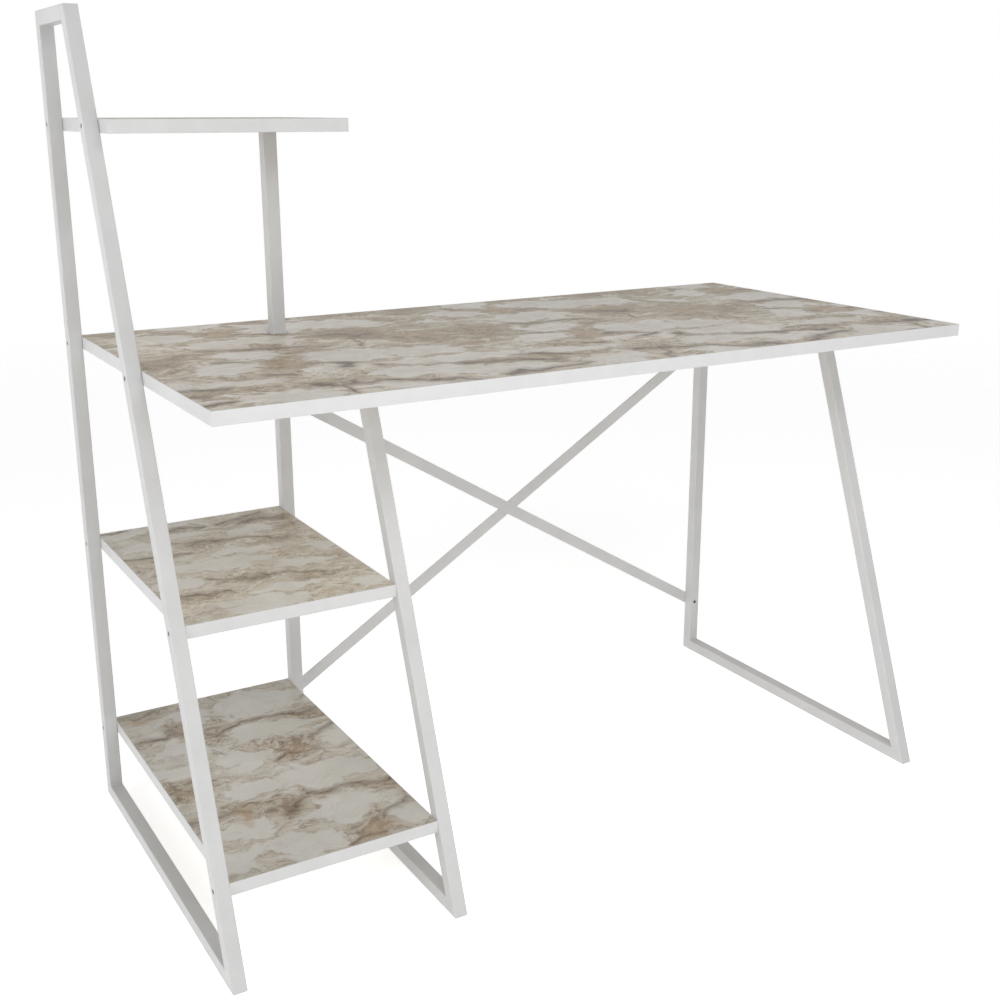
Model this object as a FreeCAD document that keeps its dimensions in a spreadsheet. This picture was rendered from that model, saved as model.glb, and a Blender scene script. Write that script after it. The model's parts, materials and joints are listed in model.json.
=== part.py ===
# Writing desk with side shelves, in millimetres.
# +X runs to the right along the worktop, +Y to the back and +Z up.
# The origin is on the floor, below the middle of the desk's length and depth.
# Three frames of square steel tube carry four boards. The tall left frame stands outside the board
# ends, the inner and right frames stand under the worktop, and a post carries the top shelf.
import FreeCAD, Part
import os
import re

import Sketcher

SIZES = [
    # Square steel tube of the frames and the post
    ("tube_size", 20),
    ("tube_wall", 1.2),
    ("tube_corner_radius", 1.5),
    # Frames: each is a trapezoid with an upright rear leg and a front leg that leans back
    ("base_depth", 600),
    ("front_leg_lean", 20),
    ("left_frame_height", 1200),
    ("desk_frame_height", 730),
    ("shelf_bay_width", 297),
    ("knee_width", 843),
    # Boards, with their edge bands counted in
    ("board_thickness", 18),
    ("band_thickness", 1),
    ("worktop_length", 1200),
    ("worktop_depth", 600),
    ("shelf_pitch", 310),
    ("top_shelf_length", 327),
    ("top_shelf_depth", 265),
    # Post between worktop and top shelf
    ("post_from_shelf_end", 68),
    ("post_plate_margin", 2.5),
    ("post_plate_thickness", 3),
    ("post_plug_thickness", 8),
    ("post_bolt_diameter", 6),
    ("post_bolt_head_diameter", 11),
    ("post_bolt_head_height", 3),
    ("post_bolt_stand_out", 5),
    ("post_socket_width", 4),
    ("insert_nut_diameter", 9),
    ("insert_nut_length", 12),
    # Cross brace of flat bar behind the rear legs
    ("brace_width", 20),
    ("brace_thickness", 3),
    ("brace_end_height", 102),
    ("brace_bolt_diameter", 5),
    ("brace_bolt_length", 12),
    ("brace_head_diameter", 9),
    ("brace_head_height", 2.6),
    ("brace_socket_width", 3),
    ("brace_front_hole", 6),
    ("rivet_nut_diameter", 7),
    ("rivet_nut_length", 9),
    ("rivet_collar_diameter", 9),
    ("rivet_collar_length", 2),
    # Screws from the frames into the boards, their heads sunk inside the tube
    ("screw_diameter", 4.5),
    ("screw_head_diameter", 6),
    ("screw_head_height", 2.5),
    ("screw_socket_width", 3),
    ("end_screw_length", 40),
    ("rail_screw_length", 14),
    ("rail_screw_inset", 60),
    ("screw_tip_length", 3),
    # Gaps round screws, heads and nuts, measured on the radius
    ("hole_clearance", 0.1),
    ("access_clearance", 0.25),
    ("hole_end_clearance", 1),
    # How far a cut runs past what it cuts
    ("overrun", 2),
]

# Shares of the size that each one follows
TIP_END_SHARE = 0.4
SOCKET_DEPTH_SHARE = 0.6

# Sine of the angle under which an edge counts as running along its tube
EDGE_ALIGNMENT = 0.001

# Places across the desk: the outer face of each frame's left side, and the left ends of the boards
LEFT_FRAME_X = "(-(tube_size + worktop_length) / 2)"
BOARD_X = f"({LEFT_FRAME_X} + tube_size)"
INNER_FRAME_X = f"({BOARD_X} + shelf_bay_width)"
RIGHT_FRAME_X = f"({INNER_FRAME_X} + tube_size + knee_width)"

# Places from front to back: the rear faces of the legs and boards, and the front toe of the frames
REAR_Y = "((worktop_depth - brace_thickness - brace_head_height) / 2)"
TOE_Y = f"({REAR_Y} - base_depth)"

# Heights of the undersides of the boards
BOTTOM_SHELF_Z = "(desk_frame_height - 2 * shelf_pitch)"
MIDDLE_SHELF_Z = "(desk_frame_height - shelf_pitch)"
WORKTOP_Z = "desk_frame_height"
TOP_SHELF_Z = "(desk_frame_height + shelf_pitch)"

# Centre of the post, measured from the boards' left ends and from their rear edges
POST_X = "(top_shelf_length - post_from_shelf_end)"
POST_FROM_REAR = "(top_shelf_depth / 2)"

# Slope of the brace bars, and half a bar's height measured along Z
BRACE_RUN = "(knee_width + 2 * tube_size)"
BRACE_SLOPE = "((desk_frame_height - 2 * brace_end_height) / (knee_width + tube_size))"
BRACE_HALF = f"(brace_width / 2 / cos(atan({BRACE_SLOPE})))"
BRACE_HEIGHTS = ("brace_end_height", "(desk_frame_height - brace_end_height)")

# Screws that go up through a top rail, measured back from the front toe
RAIL_SCREWS = (
    "(base_depth - rail_screw_inset)",
    "(desk_frame_height * tan(front_leg_lean) + rail_screw_inset)",
)

# Diameters of holes, each a little wider than what passes through it
SCREW_HOLE = "(screw_diameter + 2 * hole_clearance)"
ACCESS_HOLE = "(screw_head_diameter + 2 * access_clearance)"
RIVET_HOLE = "(rivet_nut_diameter + 2 * hole_clearance)"
BRACE_BOLT_HOLE = "(brace_bolt_diameter + 2 * hole_clearance)"
POST_BOLT_HOLE = "(post_bolt_diameter + 2 * hole_clearance)"
INSERT_HOLE = "(insert_nut_diameter + 2 * hole_clearance)"

# Depths of the screw holes in the boards
END_HOLE_DEPTH = "(end_screw_length - tube_wall + hole_end_clearance)"
RAIL_HOLE_DEPTH = "(rail_screw_length - tube_wall + hole_end_clearance)"

ALIASES = re.compile(r"\b(" + "|".join(name for name, size in SIZES) + r")\b")

doc = FreeCAD.newDocument("WritingDesk")
sheet = doc.addObject("Spreadsheet::Sheet", "Sizes")
for row, (name, size) in enumerate(SIZES, start=1):
    sheet.set(f"A{row}", name)
    sheet.set(f"B{row}", str(size))
    sheet.setAlias(f"B{row}", name)
doc.recompute()

NODES = []


def linked(formula):
    """Gives a formula in which each size name points to its cell in the sheet."""
    return ALIASES.sub(r"Sizes.\1", formula)


def bind(target, prop, formula):
    """Ties a property to a formula in the sheet's size names."""
    target.setExpression(prop, linked(formula))


def worked_out(formula):
    """Gives a formula's present value, which starts a sketch near its final shape."""
    return float(sheet.evalExpression(linked(formula)))


def place(target, x, y, z):
    """Ties the position of an object to three formulas."""
    bind(target, "Placement.Base.x", x)
    bind(target, "Placement.Base.y", y)
    bind(target, "Placement.Base.z", z)


def turn(target, axis, degrees):
    """Turns an object about an axis through its own origin."""
    target.Placement = FreeCAD.Placement(FreeCAD.Vector(), FreeCAD.Rotation(axis, degrees))


def keep(target, label):
    """Marks an object as a finished piece of the desk."""
    target.Label = label
    NODES.append(target)
    return target


def sketch_on(body, plane_role, offset):
    """Adds a sketch to a body, on one of its own origin planes, moved along the plane's normal."""
    sketch = body.newObject("Sketcher::SketchObject", "Outline")
    plane = [item for item in body.Origin.OriginFeatures if item.Role == plane_role][0]
    sketch.AttachmentSupport = [(plane, "")]
    sketch.MapMode = "FlatFace"
    bind(sketch, "AttachmentOffset.Base.z", offset)
    return sketch


def tie_point(sketch, geometry, position, point, name):
    """Holds one point of a sketch at two formulas, measured from the sketch's origin."""
    for kind, letter, formula in (("DistanceX", "u", point[0]), ("DistanceY", "v", point[1])):
        start = Sketcher.Constraint(kind, -1, 1, geometry, position, worked_out(formula))
        number = sketch.addConstraint(start)
        sketch.renameConstraint(number, f"{name}_{letter}")
        bind(sketch, f"Constraints.{name}_{letter}", formula)


def draw_polygon(sketch, points, name):
    """Draws a closed outline of straight lines through points given as pairs of formulas."""
    corners = [FreeCAD.Vector(worked_out(u), worked_out(v), 0) for u, v in points]
    count = len(corners)
    lines = []
    for index in range(count):
        line = Part.LineSegment(corners[index], corners[(index + 1) % count])
        lines.append(sketch.addGeometry(line, False))
    for index in range(count):
        following = lines[(index + 1) % count]
        sketch.addConstraint(Sketcher.Constraint("Coincident", lines[index], 2, following, 1))
    for index in range(count):
        tie_point(sketch, lines[index], 1, points[index], f"{name}{index}")


def draw_circles(sketch, centres, diameter):
    """Draws equal circles about centres given as pairs of formulas."""
    for index, (u, v) in enumerate(centres):
        centre = FreeCAD.Vector(worked_out(u), worked_out(v), 0)
        circle = Part.Circle(centre, FreeCAD.Vector(0, 0, 1), worked_out(diameter) / 2)
        geometry = sketch.addGeometry(circle, False)
        tie_point(sketch, geometry, 3, (u, v), f"centre{index}")
        number = sketch.addConstraint(Sketcher.Constraint("Diameter", geometry, worked_out(diameter)))
        sketch.renameConstraint(number, f"hole{index}")
        bind(sketch, f"Constraints.hole{index}", diameter)


def pad(body, sketch, length, side):
    """Raises a sketch to a length, to both sides or along the sketch's normal."""
    feature = body.newObject("PartDesign::Pad", "Pad")
    feature.Profile = sketch
    feature.SideType = side
    bind(feature, "Length", length)
    return feature


def drill(body, plane_role, offset, centres, diameter, depth, along_normal):
    """Sinks equal round holes into a body from a plane, along its normal or against it."""
    before = body.Shape.Volume
    sketch = sketch_on(body, plane_role, offset)
    draw_circles(sketch, centres, diameter)
    feature = body.newObject("PartDesign::Pocket", "Holes")
    feature.Profile = sketch
    feature.Reversed = along_normal
    bind(feature, "Length", depth)
    doc.recompute()
    if body.Shape.Volume >= before:
        raise RuntimeError(f"the holes of {body.Label} cut nothing")


# Frames


def corner(which, inset, height):
    """Gives a corner of a frame's outline, moved inwards by an inset from both of its sides.

    The first value is measured back from the front toe and the second up from the floor.
    """
    rear = f"(base_depth - {inset})"
    up = inset if "foot" in which else f"({height} - {inset})"
    front = f"({up} * tan(front_leg_lean) + {inset} / cos(front_leg_lean))"
    return (rear if "rear" in which else front, up)


# Each tube runs from one corner to another, along a direction back and up
TUBES = {
    "rear_leg": ("rear_foot", "rear_top", ("0", "1")),
    "front_leg": ("front_foot", "front_top", ("sin(front_leg_lean)", "cos(front_leg_lean)")),
    "base_rail": ("front_foot", "rear_foot", ("1", "0")),
    "top_rail": ("front_top", "rear_top", ("1", "0")),
}


def round_corners(body, blank, along):
    """Rounds the four outer edges of a solid tube blank that run along a direction."""
    edges = []
    for number, edge in enumerate(blank.Shape.Edges, start=1):
        if edge.tangentAt(edge.FirstParameter).cross(along).Length < EDGE_ALIGNMENT:
            edges.append(f"Edge{number}")
    feature = body.newObject("PartDesign::Fillet", "Corners")
    feature.Base = (blank, edges)
    bind(feature, "Radius", "tube_corner_radius")
    doc.recompute()


def cut_bore(body, plane_role, offset, outline, length, side):
    """Hollows a tube blank with the outline of its bore, against the plane's normal or both ways."""
    before = body.Shape.Volume
    sketch = sketch_on(body, plane_role, offset)
    draw_polygon(sketch, outline, "bore")
    feature = body.newObject("PartDesign::Pocket", "Bore")
    feature.Profile = sketch
    feature.SideType = side
    bind(feature, "Length", length)
    doc.recompute()
    if body.Shape.Volume >= before:
        raise RuntimeError(f"the bore of {body.Label} cut nothing")


def tube(label, part, height, left_face):
    """Makes one hollow square tube of a frame, mitred at both ends."""
    start, end, direction = TUBES[part]
    body = keep(doc.addObject("PartDesign::Body", label), label)
    outline = sketch_on(body, "YZ_Plane", "0")
    near = [corner(start, "0", height), corner(end, "0", height)]
    far = [corner(end, "tube_size", height), corner(start, "tube_size", height)]
    draw_polygon(outline, near + far, "side")
    blank = pad(body, outline, "tube_size", "Symmetric")
    doc.recompute()
    round_corners(body, blank, FreeCAD.Vector(0, worked_out(direction[0]), worked_out(direction[1])))

    inner = []
    for which, inset, sign in (
        (start, "tube_wall", "-"),
        (end, "tube_wall", "+"),
        (end, "(tube_size - tube_wall)", "+"),
        (start, "(tube_size - tube_wall)", "-"),
    ):
        u, v = corner(which, inset, height)
        inner.append((f"{u} {sign} overrun * {direction[0]}", f"{v} {sign} overrun * {direction[1]}"))
    cut_bore(body, "YZ_Plane", "0", inner, "tube_size - 2 * tube_wall", "Symmetric")
    place(body, f"{left_face} + tube_size / 2", TOE_Y, "0")
    return body


def leg_centres(part, heights):
    """Gives the points on a leg's centre line at some heights, measured from the toe and the floor."""
    if part == "rear_leg":
        return [("base_depth - tube_size / 2", height) for height in heights]
    back = "tan(front_leg_lean) + tube_size / 2 / cos(front_leg_lean)"
    return [(f"{height} * {back}", height) for height in heights]


def board_middle(underside):
    """Gives the height of a board's mid-thickness."""
    return f"({underside} + board_thickness / 2)"


def drill_leg(body, part, undersides, access_on_right):
    """Drills a leg for end screws: a wide hole for the head in one wall, a close one opposite."""
    centres = leg_centres(part, [board_middle(underside) for underside in undersides])
    drill(body, "YZ_Plane", "0", centres, ACCESS_HOLE, "tube_size", access_on_right)
    drill(body, "YZ_Plane", "0", centres, SCREW_HOLE, "tube_size", not access_on_right)


def drill_top_rail(body):
    """Drills a top rail for the screws that go up into the worktop."""
    centres = [("0", back) for back in RAIL_SCREWS]
    middle = "desk_frame_height - tube_size / 2"
    drill(body, "XY_Plane", middle, centres, ACCESS_HOLE, "tube_size", False)
    drill(body, "XY_Plane", middle, centres, SCREW_HOLE, "tube_size", True)


def drill_rear_leg(body):
    """Drills a rear leg for the brace: the rivet nut's seat behind and a plain hole in front."""
    centres = [("0", height) for height in BRACE_HEIGHTS]
    middle = "tube_size / 2 - base_depth"
    drill(body, "XZ_Plane", middle, centres, "brace_front_hole", "tube_size", True)
    drill(body, "XZ_Plane", middle, centres, RIVET_HOLE, "tube_size", False)


def make_left_frame():
    """Makes the tall frame that carries the left end of every board."""
    undersides = (BOTTOM_SHELF_Z, MIDDLE_SHELF_Z, WORKTOP_Z, TOP_SHELF_Z)
    for part in TUBES:
        body = tube(f"left_frame_{part}", part, "left_frame_height", LEFT_FRAME_X)
        if part in ("rear_leg", "front_leg"):
            drill_leg(body, part, undersides, False)


def make_inner_frame():
    """Makes the frame between the shelves and the knee space."""
    for part in TUBES:
        body = tube(f"inner_frame_{part}", part, "desk_frame_height", INNER_FRAME_X)
        if part in ("rear_leg", "front_leg"):
            drill_leg(body, part, (BOTTOM_SHELF_Z, MIDDLE_SHELF_Z), True)
        if part == "rear_leg":
            drill_rear_leg(body)
        if part == "top_rail":
            drill_top_rail(body)


def make_right_frame():
    """Makes the frame under the worktop's right end."""
    for part in TUBES:
        body = tube(f"right_frame_{part}", part, "desk_frame_height", RIGHT_FRAME_X)
        if part == "rear_leg":
            drill_rear_leg(body)
        if part == "top_rail":
            drill_top_rail(body)


# Boards


def rectangle(inset, length, depth):
    """Gives a board's outline, moved inwards by an inset on every side."""
    return [
        (inset, inset),
        (f"{length} - {inset}", inset),
        (f"{length} - {inset}", f"{depth} - {inset}"),
        (inset, f"{depth} - {inset}"),
    ]


def end_screw_places(depth, underside):
    """Gives the end screws of a board, measured back from its front edge and up from its underside."""
    places = []
    for part in ("rear_leg", "front_leg"):
        back = leg_centres(part, [board_middle(underside)])[0][0]
        places.append((f"{back} - base_depth + {depth}", "board_thickness / 2"))
    return places


def make_board(name, length, depth, underside, right_end_screws, under_holes):
    """Makes a board and the band round its edges, drilled for their screws.

    Under holes are sets of centres, diameter and depth, sunk from the underside.
    """
    screws = end_screw_places(depth, underside)
    outside = rectangle("0", length, depth)
    inside = rectangle("band_thickness", length, depth)
    for label, outlines in ((f"{name}_panel", [inside]), (f"{name}_edge_band", [outside, inside])):
        body = keep(doc.addObject("PartDesign::Body", label), label)
        sketch = sketch_on(body, "XY_Plane", "0")
        for number, outline in enumerate(outlines):
            draw_polygon(sketch, outline, f"edge{number}_")
        pad(body, sketch, "board_thickness", "One side")
        doc.recompute()
        drill(body, "YZ_Plane", "0", screws, SCREW_HOLE, END_HOLE_DEPTH, True)
        if right_end_screws:
            drill(body, "YZ_Plane", length, screws, SCREW_HOLE, END_HOLE_DEPTH, False)
        if "panel" in label:
            for centres, diameter, hole_depth in under_holes:
                drill(body, "XY_Plane", "0", centres, diameter, hole_depth, True)
        place(body, BOARD_X, f"{REAR_Y} - {depth}", underside)


def make_boards():
    """Makes the worktop and the three shelves."""
    rails = []
    for across in ("shelf_bay_width", "(shelf_bay_width + tube_size + knee_width)"):
        for back in RAIL_SCREWS:
            rails.append((f"{across} + tube_size / 2", f"{back} - base_depth + worktop_depth"))
    post = [(POST_X, f"worktop_depth - {POST_FROM_REAR}")]
    through = "board_thickness + overrun"
    worktop_holes = [(rails, SCREW_HOLE, RAIL_HOLE_DEPTH), (post, POST_BOLT_HOLE, through)]
    make_board("worktop", "worktop_length", "worktop_depth", WORKTOP_Z, False, worktop_holes)

    stud = [(POST_X, f"top_shelf_depth - {POST_FROM_REAR}")]
    shelf_holes = [(stud, INSERT_HOLE, "insert_nut_length + hole_end_clearance")]
    make_board("top_shelf", "top_shelf_length", "top_shelf_depth", TOP_SHELF_Z, False, shelf_holes)

    for name, underside in (("middle_shelf", MIDDLE_SHELF_Z), ("bottom_shelf", BOTTOM_SHELF_Z)):
        depth = f"(base_depth - ({underside} + board_thickness) * tan(front_leg_lean))"
        make_board(name, "shelf_bay_width", depth, underside, True, [])


# Cross brace


def brace_bar(label, points):
    """Makes one flat bar of the brace from its outline, seen from the front."""
    body = keep(doc.addObject("PartDesign::Body", label), label)
    sketch = sketch_on(body, "XZ_Plane", "0")
    draw_polygon(sketch, points, "bar")
    feature = pad(body, sketch, "brace_thickness", "One side")
    feature.Reversed = True
    doc.recompute()
    place(body, INNER_FRAME_X, REAR_Y, "0")
    return body


def make_brace():
    """Makes the falling bar in one piece and the rising bar in two halves that butt against it."""
    low = f"(brace_end_height - {BRACE_SLOPE} * tube_size / 2)"
    high = f"(desk_frame_height - {low})"
    middle_x = f"({BRACE_RUN} / 2)"
    middle_z = "(desk_frame_height / 2)"
    side = f"({BRACE_HALF} / {BRACE_SLOPE})"
    falling = brace_bar("brace_falling_bar", [
        ("0", f"{high} - {BRACE_HALF}"),
        (BRACE_RUN, f"{low} - {BRACE_HALF}"),
        (BRACE_RUN, f"{low} + {BRACE_HALF}"),
        ("0", f"{high} + {BRACE_HALF}"),
    ])
    lower = brace_bar("brace_rising_lower_bar", [
        ("0", f"{low} - {BRACE_HALF}"),
        (middle_x, f"{middle_z} - {BRACE_HALF}"),
        (f"{middle_x} - {side}", middle_z),
        ("0", f"{low} + {BRACE_HALF}"),
    ])
    upper = brace_bar("brace_rising_upper_bar", [
        (middle_x, f"{middle_z} + {BRACE_HALF}"),
        (f"{middle_x} + {side}", middle_z),
        (BRACE_RUN, f"{high} - {BRACE_HALF}"),
        (BRACE_RUN, f"{high} + {BRACE_HALF}"),
    ])
    left = "tube_size / 2"
    right = f"{BRACE_RUN} - tube_size / 2"
    for bar, centres in (
        (falling, [(left, BRACE_HEIGHTS[1]), (right, BRACE_HEIGHTS[0])]),
        (lower, [(left, BRACE_HEIGHTS[0])]),
        (upper, [(right, BRACE_HEIGHTS[1])]),
    ):
        through = "brace_thickness + 2 * overrun"
        drill(bar, "XZ_Plane", "overrun", centres, BRACE_BOLT_HOLE, through, False)


# Post


def make_post():
    """Makes the post with its foot plate and threaded plug, and the nut above it."""
    x = f"{BOARD_X} + {POST_X}"
    y = f"{REAR_Y} - {POST_FROM_REAR}"
    foot_z = f"({WORKTOP_Z} + board_thickness)"
    tube_length = f"({TOP_SHELF_Z} - {foot_z} - post_plate_thickness)"

    body = keep(doc.addObject("PartDesign::Body", "shelf_post_tube"), "shelf_post_tube")
    outer = sketch_on(body, "XY_Plane", "0")
    draw_polygon(outer, centred_square("tube_size"), "outer")
    blank = pad(body, outer, tube_length, "One side")
    doc.recompute()
    round_corners(body, blank, FreeCAD.Vector(0, 0, 1))
    square = centred_square("(tube_size - 2 * tube_wall)")
    through = f"{tube_length} + 2 * overrun"
    cut_bore(body, "XY_Plane", f"{tube_length} + overrun", square, through, "One side")
    place(body, x, y, f"{foot_z} + post_plate_thickness")

    plate = post_block("shelf_post_foot_plate", "(tube_size + 2 * post_plate_margin)",
                       "post_plate_thickness")
    place(plate, x, y, foot_z)
    plug = post_block("shelf_post_plug", "(tube_size - 2 * tube_wall)", "post_plug_thickness")
    place(plug, x, y, f"{TOP_SHELF_Z} - post_plug_thickness")

    nut = keep(ring("insert_nut_diameter", POST_BOLT_HOLE, "insert_nut_length"), "top_shelf_insert_nut")
    place(nut, x, y, TOP_SHELF_Z)
    stud = keep(doc.addObject("Part::Cylinder", "Stud"), "shelf_post_stud")
    bind(stud, "Radius", "post_bolt_diameter / 2")
    bind(stud, "Height", "post_plug_thickness + insert_nut_length")
    place(stud, x, y, f"{TOP_SHELF_Z} - post_plug_thickness")

    bolt = socket_screw("post_bolt_head_diameter", "post_bolt_head_height", "post_bolt_diameter",
                        "(board_thickness + post_plate_thickness + post_bolt_stand_out)",
                        "post_socket_width")
    place(keep(bolt, "shelf_post_foot_bolt"), x, y, WORKTOP_Z)


def centred_square(width):
    """Gives a square outline about the sketch's origin."""
    half = f"{width} / 2"
    return [(f"-{half}", f"-{half}"), (half, f"-{half}"), (half, half), (f"-{half}", half)]


def post_block(label, width, thickness):
    """Makes a square plate with a central hole for the post's thread."""
    body = keep(doc.addObject("PartDesign::Body", label), label)
    sketch = sketch_on(body, "XY_Plane", "0")
    draw_polygon(sketch, centred_square(width), "edge")
    pad(body, sketch, thickness, "One side")
    doc.recompute()
    through = f"{thickness} + 2 * overrun"
    drill(body, "XY_Plane", "-overrun", [("0", "0")], POST_BOLT_HOLE, through, True)
    return body


# Fasteners


def cylinder(diameter, height, base):
    """Makes an upright cylinder whose foot is at a height."""
    solid = doc.addObject("Part::Cylinder", "Shank")
    bind(solid, "Radius", f"{diameter} / 2")
    bind(solid, "Height", height)
    bind(solid, "Placement.Base.z", base)
    return solid


def ring(outer, inner, height):
    """Makes an upright sleeve whose foot is at height zero."""
    cut = doc.addObject("Part::Cut", "Sleeve")
    cut.Base = cylinder(outer, height, "0")
    cut.Tool = cylinder(inner, f"{height} + 2 * overrun", "-overrun")
    return cut


def socket_screw(head_diameter, head_height, diameter, length, socket_width):
    """Makes a screw that points up, its head's seat at the origin and a hexagon socket in its head."""
    tip = doc.addObject("Part::Cone", "Tip")
    bind(tip, "Radius1", f"{diameter} / 2")
    bind(tip, "Radius2", f"{diameter} / 2 * {TIP_END_SHARE}")
    bind(tip, "Height", "screw_tip_length")
    bind(tip, "Placement.Base.z", f"{length} - screw_tip_length")
    shank = cylinder(diameter, f"{length} - screw_tip_length", "0")
    head = cylinder(head_diameter, head_height, f"-{head_height}")
    fuse = doc.addObject("Part::MultiFuse", "Screw")
    fuse.Shapes = [head, shank, tip]
    socket = doc.addObject("Part::Prism", "Socket")
    socket.Polygon = 6
    bind(socket, "Circumradius", f"{socket_width} / 2 / cos(30)")
    bind(socket, "Height", f"{head_height} * {SOCKET_DEPTH_SHARE} + overrun")
    bind(socket, "Placement.Base.z", f"-{head_height} - overrun")
    cut = doc.addObject("Part::Cut", "SocketScrew")
    cut.Base = fuse
    cut.Tool = socket
    return cut


def group(label, master, places, axis, degrees):
    """Sets copies of a fastener at places given as three formulas each, all turned alike."""
    copies = []
    for x, y, z in places:
        copy = doc.addObject("App::Link", "Copy")
        copy.LinkedObject = master
        turn(copy, axis, degrees)
        place(copy, x, y, z)
        copies.append(copy)
    keep(doc.addObject("Part::Compound", label), label).Links = copies


def end_screws(x, underside):
    """Gives the places of the two end screws of a board at a frame's wall."""
    places = []
    for part in ("rear_leg", "front_leg"):
        back, up = leg_centres(part, [board_middle(underside)])[0]
        places.append((x, f"{TOE_Y} + {back}", up))
    return places


def make_fasteners():
    """Makes the screws of the frames, and the bolts and rivet nuts of the brace."""
    across = FreeCAD.Vector(0, 1, 0)
    upwards = FreeCAD.Vector(0, 0, 1)
    backwards = FreeCAD.Vector(1, 0, 0)
    end_screw = socket_screw("screw_head_diameter", "screw_head_height", "screw_diameter",
                             "end_screw_length", "screw_socket_width")
    rail_screw = socket_screw("screw_head_diameter", "screw_head_height", "screw_diameter",
                              "rail_screw_length", "screw_socket_width")
    brace_bolt = socket_screw("brace_head_diameter", "brace_head_height", "brace_bolt_diameter",
                              "brace_bolt_length", "brace_socket_width")

    left_seat = f"{BOARD_X} - tube_wall"
    for name, underside in (
        ("bottom_shelf", BOTTOM_SHELF_Z),
        ("middle_shelf", MIDDLE_SHELF_Z),
        ("worktop", WORKTOP_Z),
        ("top_shelf", TOP_SHELF_Z),
    ):
        group(f"left_frame_{name}_screws", end_screw, end_screws(left_seat, underside), across, 90)

    right_seat = f"{INNER_FRAME_X} + tube_wall"
    for name, underside in (("bottom_shelf", BOTTOM_SHELF_Z), ("middle_shelf", MIDDLE_SHELF_Z)):
        group(f"inner_frame_{name}_screws", end_screw, end_screws(right_seat, underside), across, -90)

    for name, left_face in (("inner_frame", INNER_FRAME_X), ("right_frame", RIGHT_FRAME_X)):
        places = []
        for back in RAIL_SCREWS:
            place_y = f"{TOE_Y} + {back}"
            places.append((f"{left_face} + tube_size / 2", place_y, "desk_frame_height - tube_wall"))
        group(f"{name}_worktop_screws", rail_screw, places, upwards, 0)

    nut = doc.addObject("Part::Fuse", "RivetNut")
    nut.Base = ring("rivet_nut_diameter", BRACE_BOLT_HOLE, "rivet_nut_length")
    collar = ring("rivet_collar_diameter", BRACE_BOLT_HOLE, "rivet_collar_length")
    bind(collar, "Placement.Base.z", "tube_wall")
    nut.Tool = collar
    bolts = []
    nuts = []
    for left_face in (INNER_FRAME_X, RIGHT_FRAME_X):
        for height in BRACE_HEIGHTS:
            bolts.append((f"{left_face} + tube_size / 2", f"{REAR_Y} + brace_thickness", height))
            nuts.append((f"{left_face} + tube_size / 2", REAR_Y, height))
    group("brace_bolts", brace_bolt, bolts, backwards, 90)
    group("brace_rivet_nuts", nut, nuts, backwards, 90)


make_left_frame()
make_inner_frame()
make_right_frame()
make_boards()
make_brace()
make_post()
make_fasteners()
doc.recompute()

for item in doc.Objects:
    if "Invalid" in item.State or "Error" in item.State:
        raise RuntimeError(f"{item.Label} did not build")
for node in NODES:
    if node.Shape.isNull() or not node.Shape.isValid():
        raise RuntimeError(f"{node.Label} has no valid shape")
os.makedirs("parts", exist_ok=True)
for node in NODES:
    node.Shape.exportStep(f"parts/{node.Label}.step")
print(len(NODES), "pieces written")
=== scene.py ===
"""Looks of the writing desk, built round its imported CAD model.

Three welded frames of square tube carry a worktop and three shelves faced with a marble decor.
A post holds up the top shelf, and a cross brace of flat bar stiffens the back. Lengths are in
metres: +X runs to the right along the worktop, +Y to the back and +Z up.
"""

import json
import logging
import math
from collections.abc import Iterable, Sequence
from dataclasses import dataclass
from enum import Enum, auto
from functools import partial
from typing import NamedTuple

import bmesh
import bpy
from mathutils import Matrix, Vector


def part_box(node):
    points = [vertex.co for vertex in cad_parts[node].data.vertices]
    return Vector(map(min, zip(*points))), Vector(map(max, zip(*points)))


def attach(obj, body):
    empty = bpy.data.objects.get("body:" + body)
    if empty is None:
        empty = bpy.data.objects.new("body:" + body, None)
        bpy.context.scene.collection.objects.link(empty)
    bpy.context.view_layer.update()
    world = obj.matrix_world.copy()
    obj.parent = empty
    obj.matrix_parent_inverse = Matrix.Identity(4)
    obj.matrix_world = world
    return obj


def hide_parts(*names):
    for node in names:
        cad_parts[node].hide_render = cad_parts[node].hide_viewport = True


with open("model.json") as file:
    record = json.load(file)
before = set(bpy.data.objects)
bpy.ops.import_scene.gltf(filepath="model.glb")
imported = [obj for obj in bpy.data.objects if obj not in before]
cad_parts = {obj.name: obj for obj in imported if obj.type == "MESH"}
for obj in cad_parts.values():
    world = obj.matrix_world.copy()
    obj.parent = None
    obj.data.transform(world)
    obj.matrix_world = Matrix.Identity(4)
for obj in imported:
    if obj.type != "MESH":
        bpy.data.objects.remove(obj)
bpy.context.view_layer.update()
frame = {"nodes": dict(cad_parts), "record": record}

LOG = logging.getLogger("writing_desk")

MM = 0.001
BODY = "root"

# The angle above which an edge is drawn sharp.
SHARP_ANGLE = math.radians(32)
# The least cosines at which two directions count as alike, and as the same.
ALIKE, SAME = 0.9, 0.99
# The distances at which a cut takes up a point, and at which a point lies on the cut.
CUT_REACH, ON_CUT = 1e-7, 1e-6
# The ways to the right, to the back and up.
RIGHT, BACK, UP = Vector((1, 0, 0)), Vector((0, 1, 0)), Vector((0, 0, 1))
# The middle value of a noise.
MIDDLE = 0.5
# The refractive index of the finishes.
IOR = 1.5

Pair = tuple[float, float]
Triple = tuple[float, float, float]
Colour = tuple[float, float, float, float]


class Slot(Enum):
    """The material slots of the desk's record."""

    DECOR = "board_decor"
    BAND = "edge_band"
    COAT = "frame_coat"
    FASTENER = "fastener"


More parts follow.
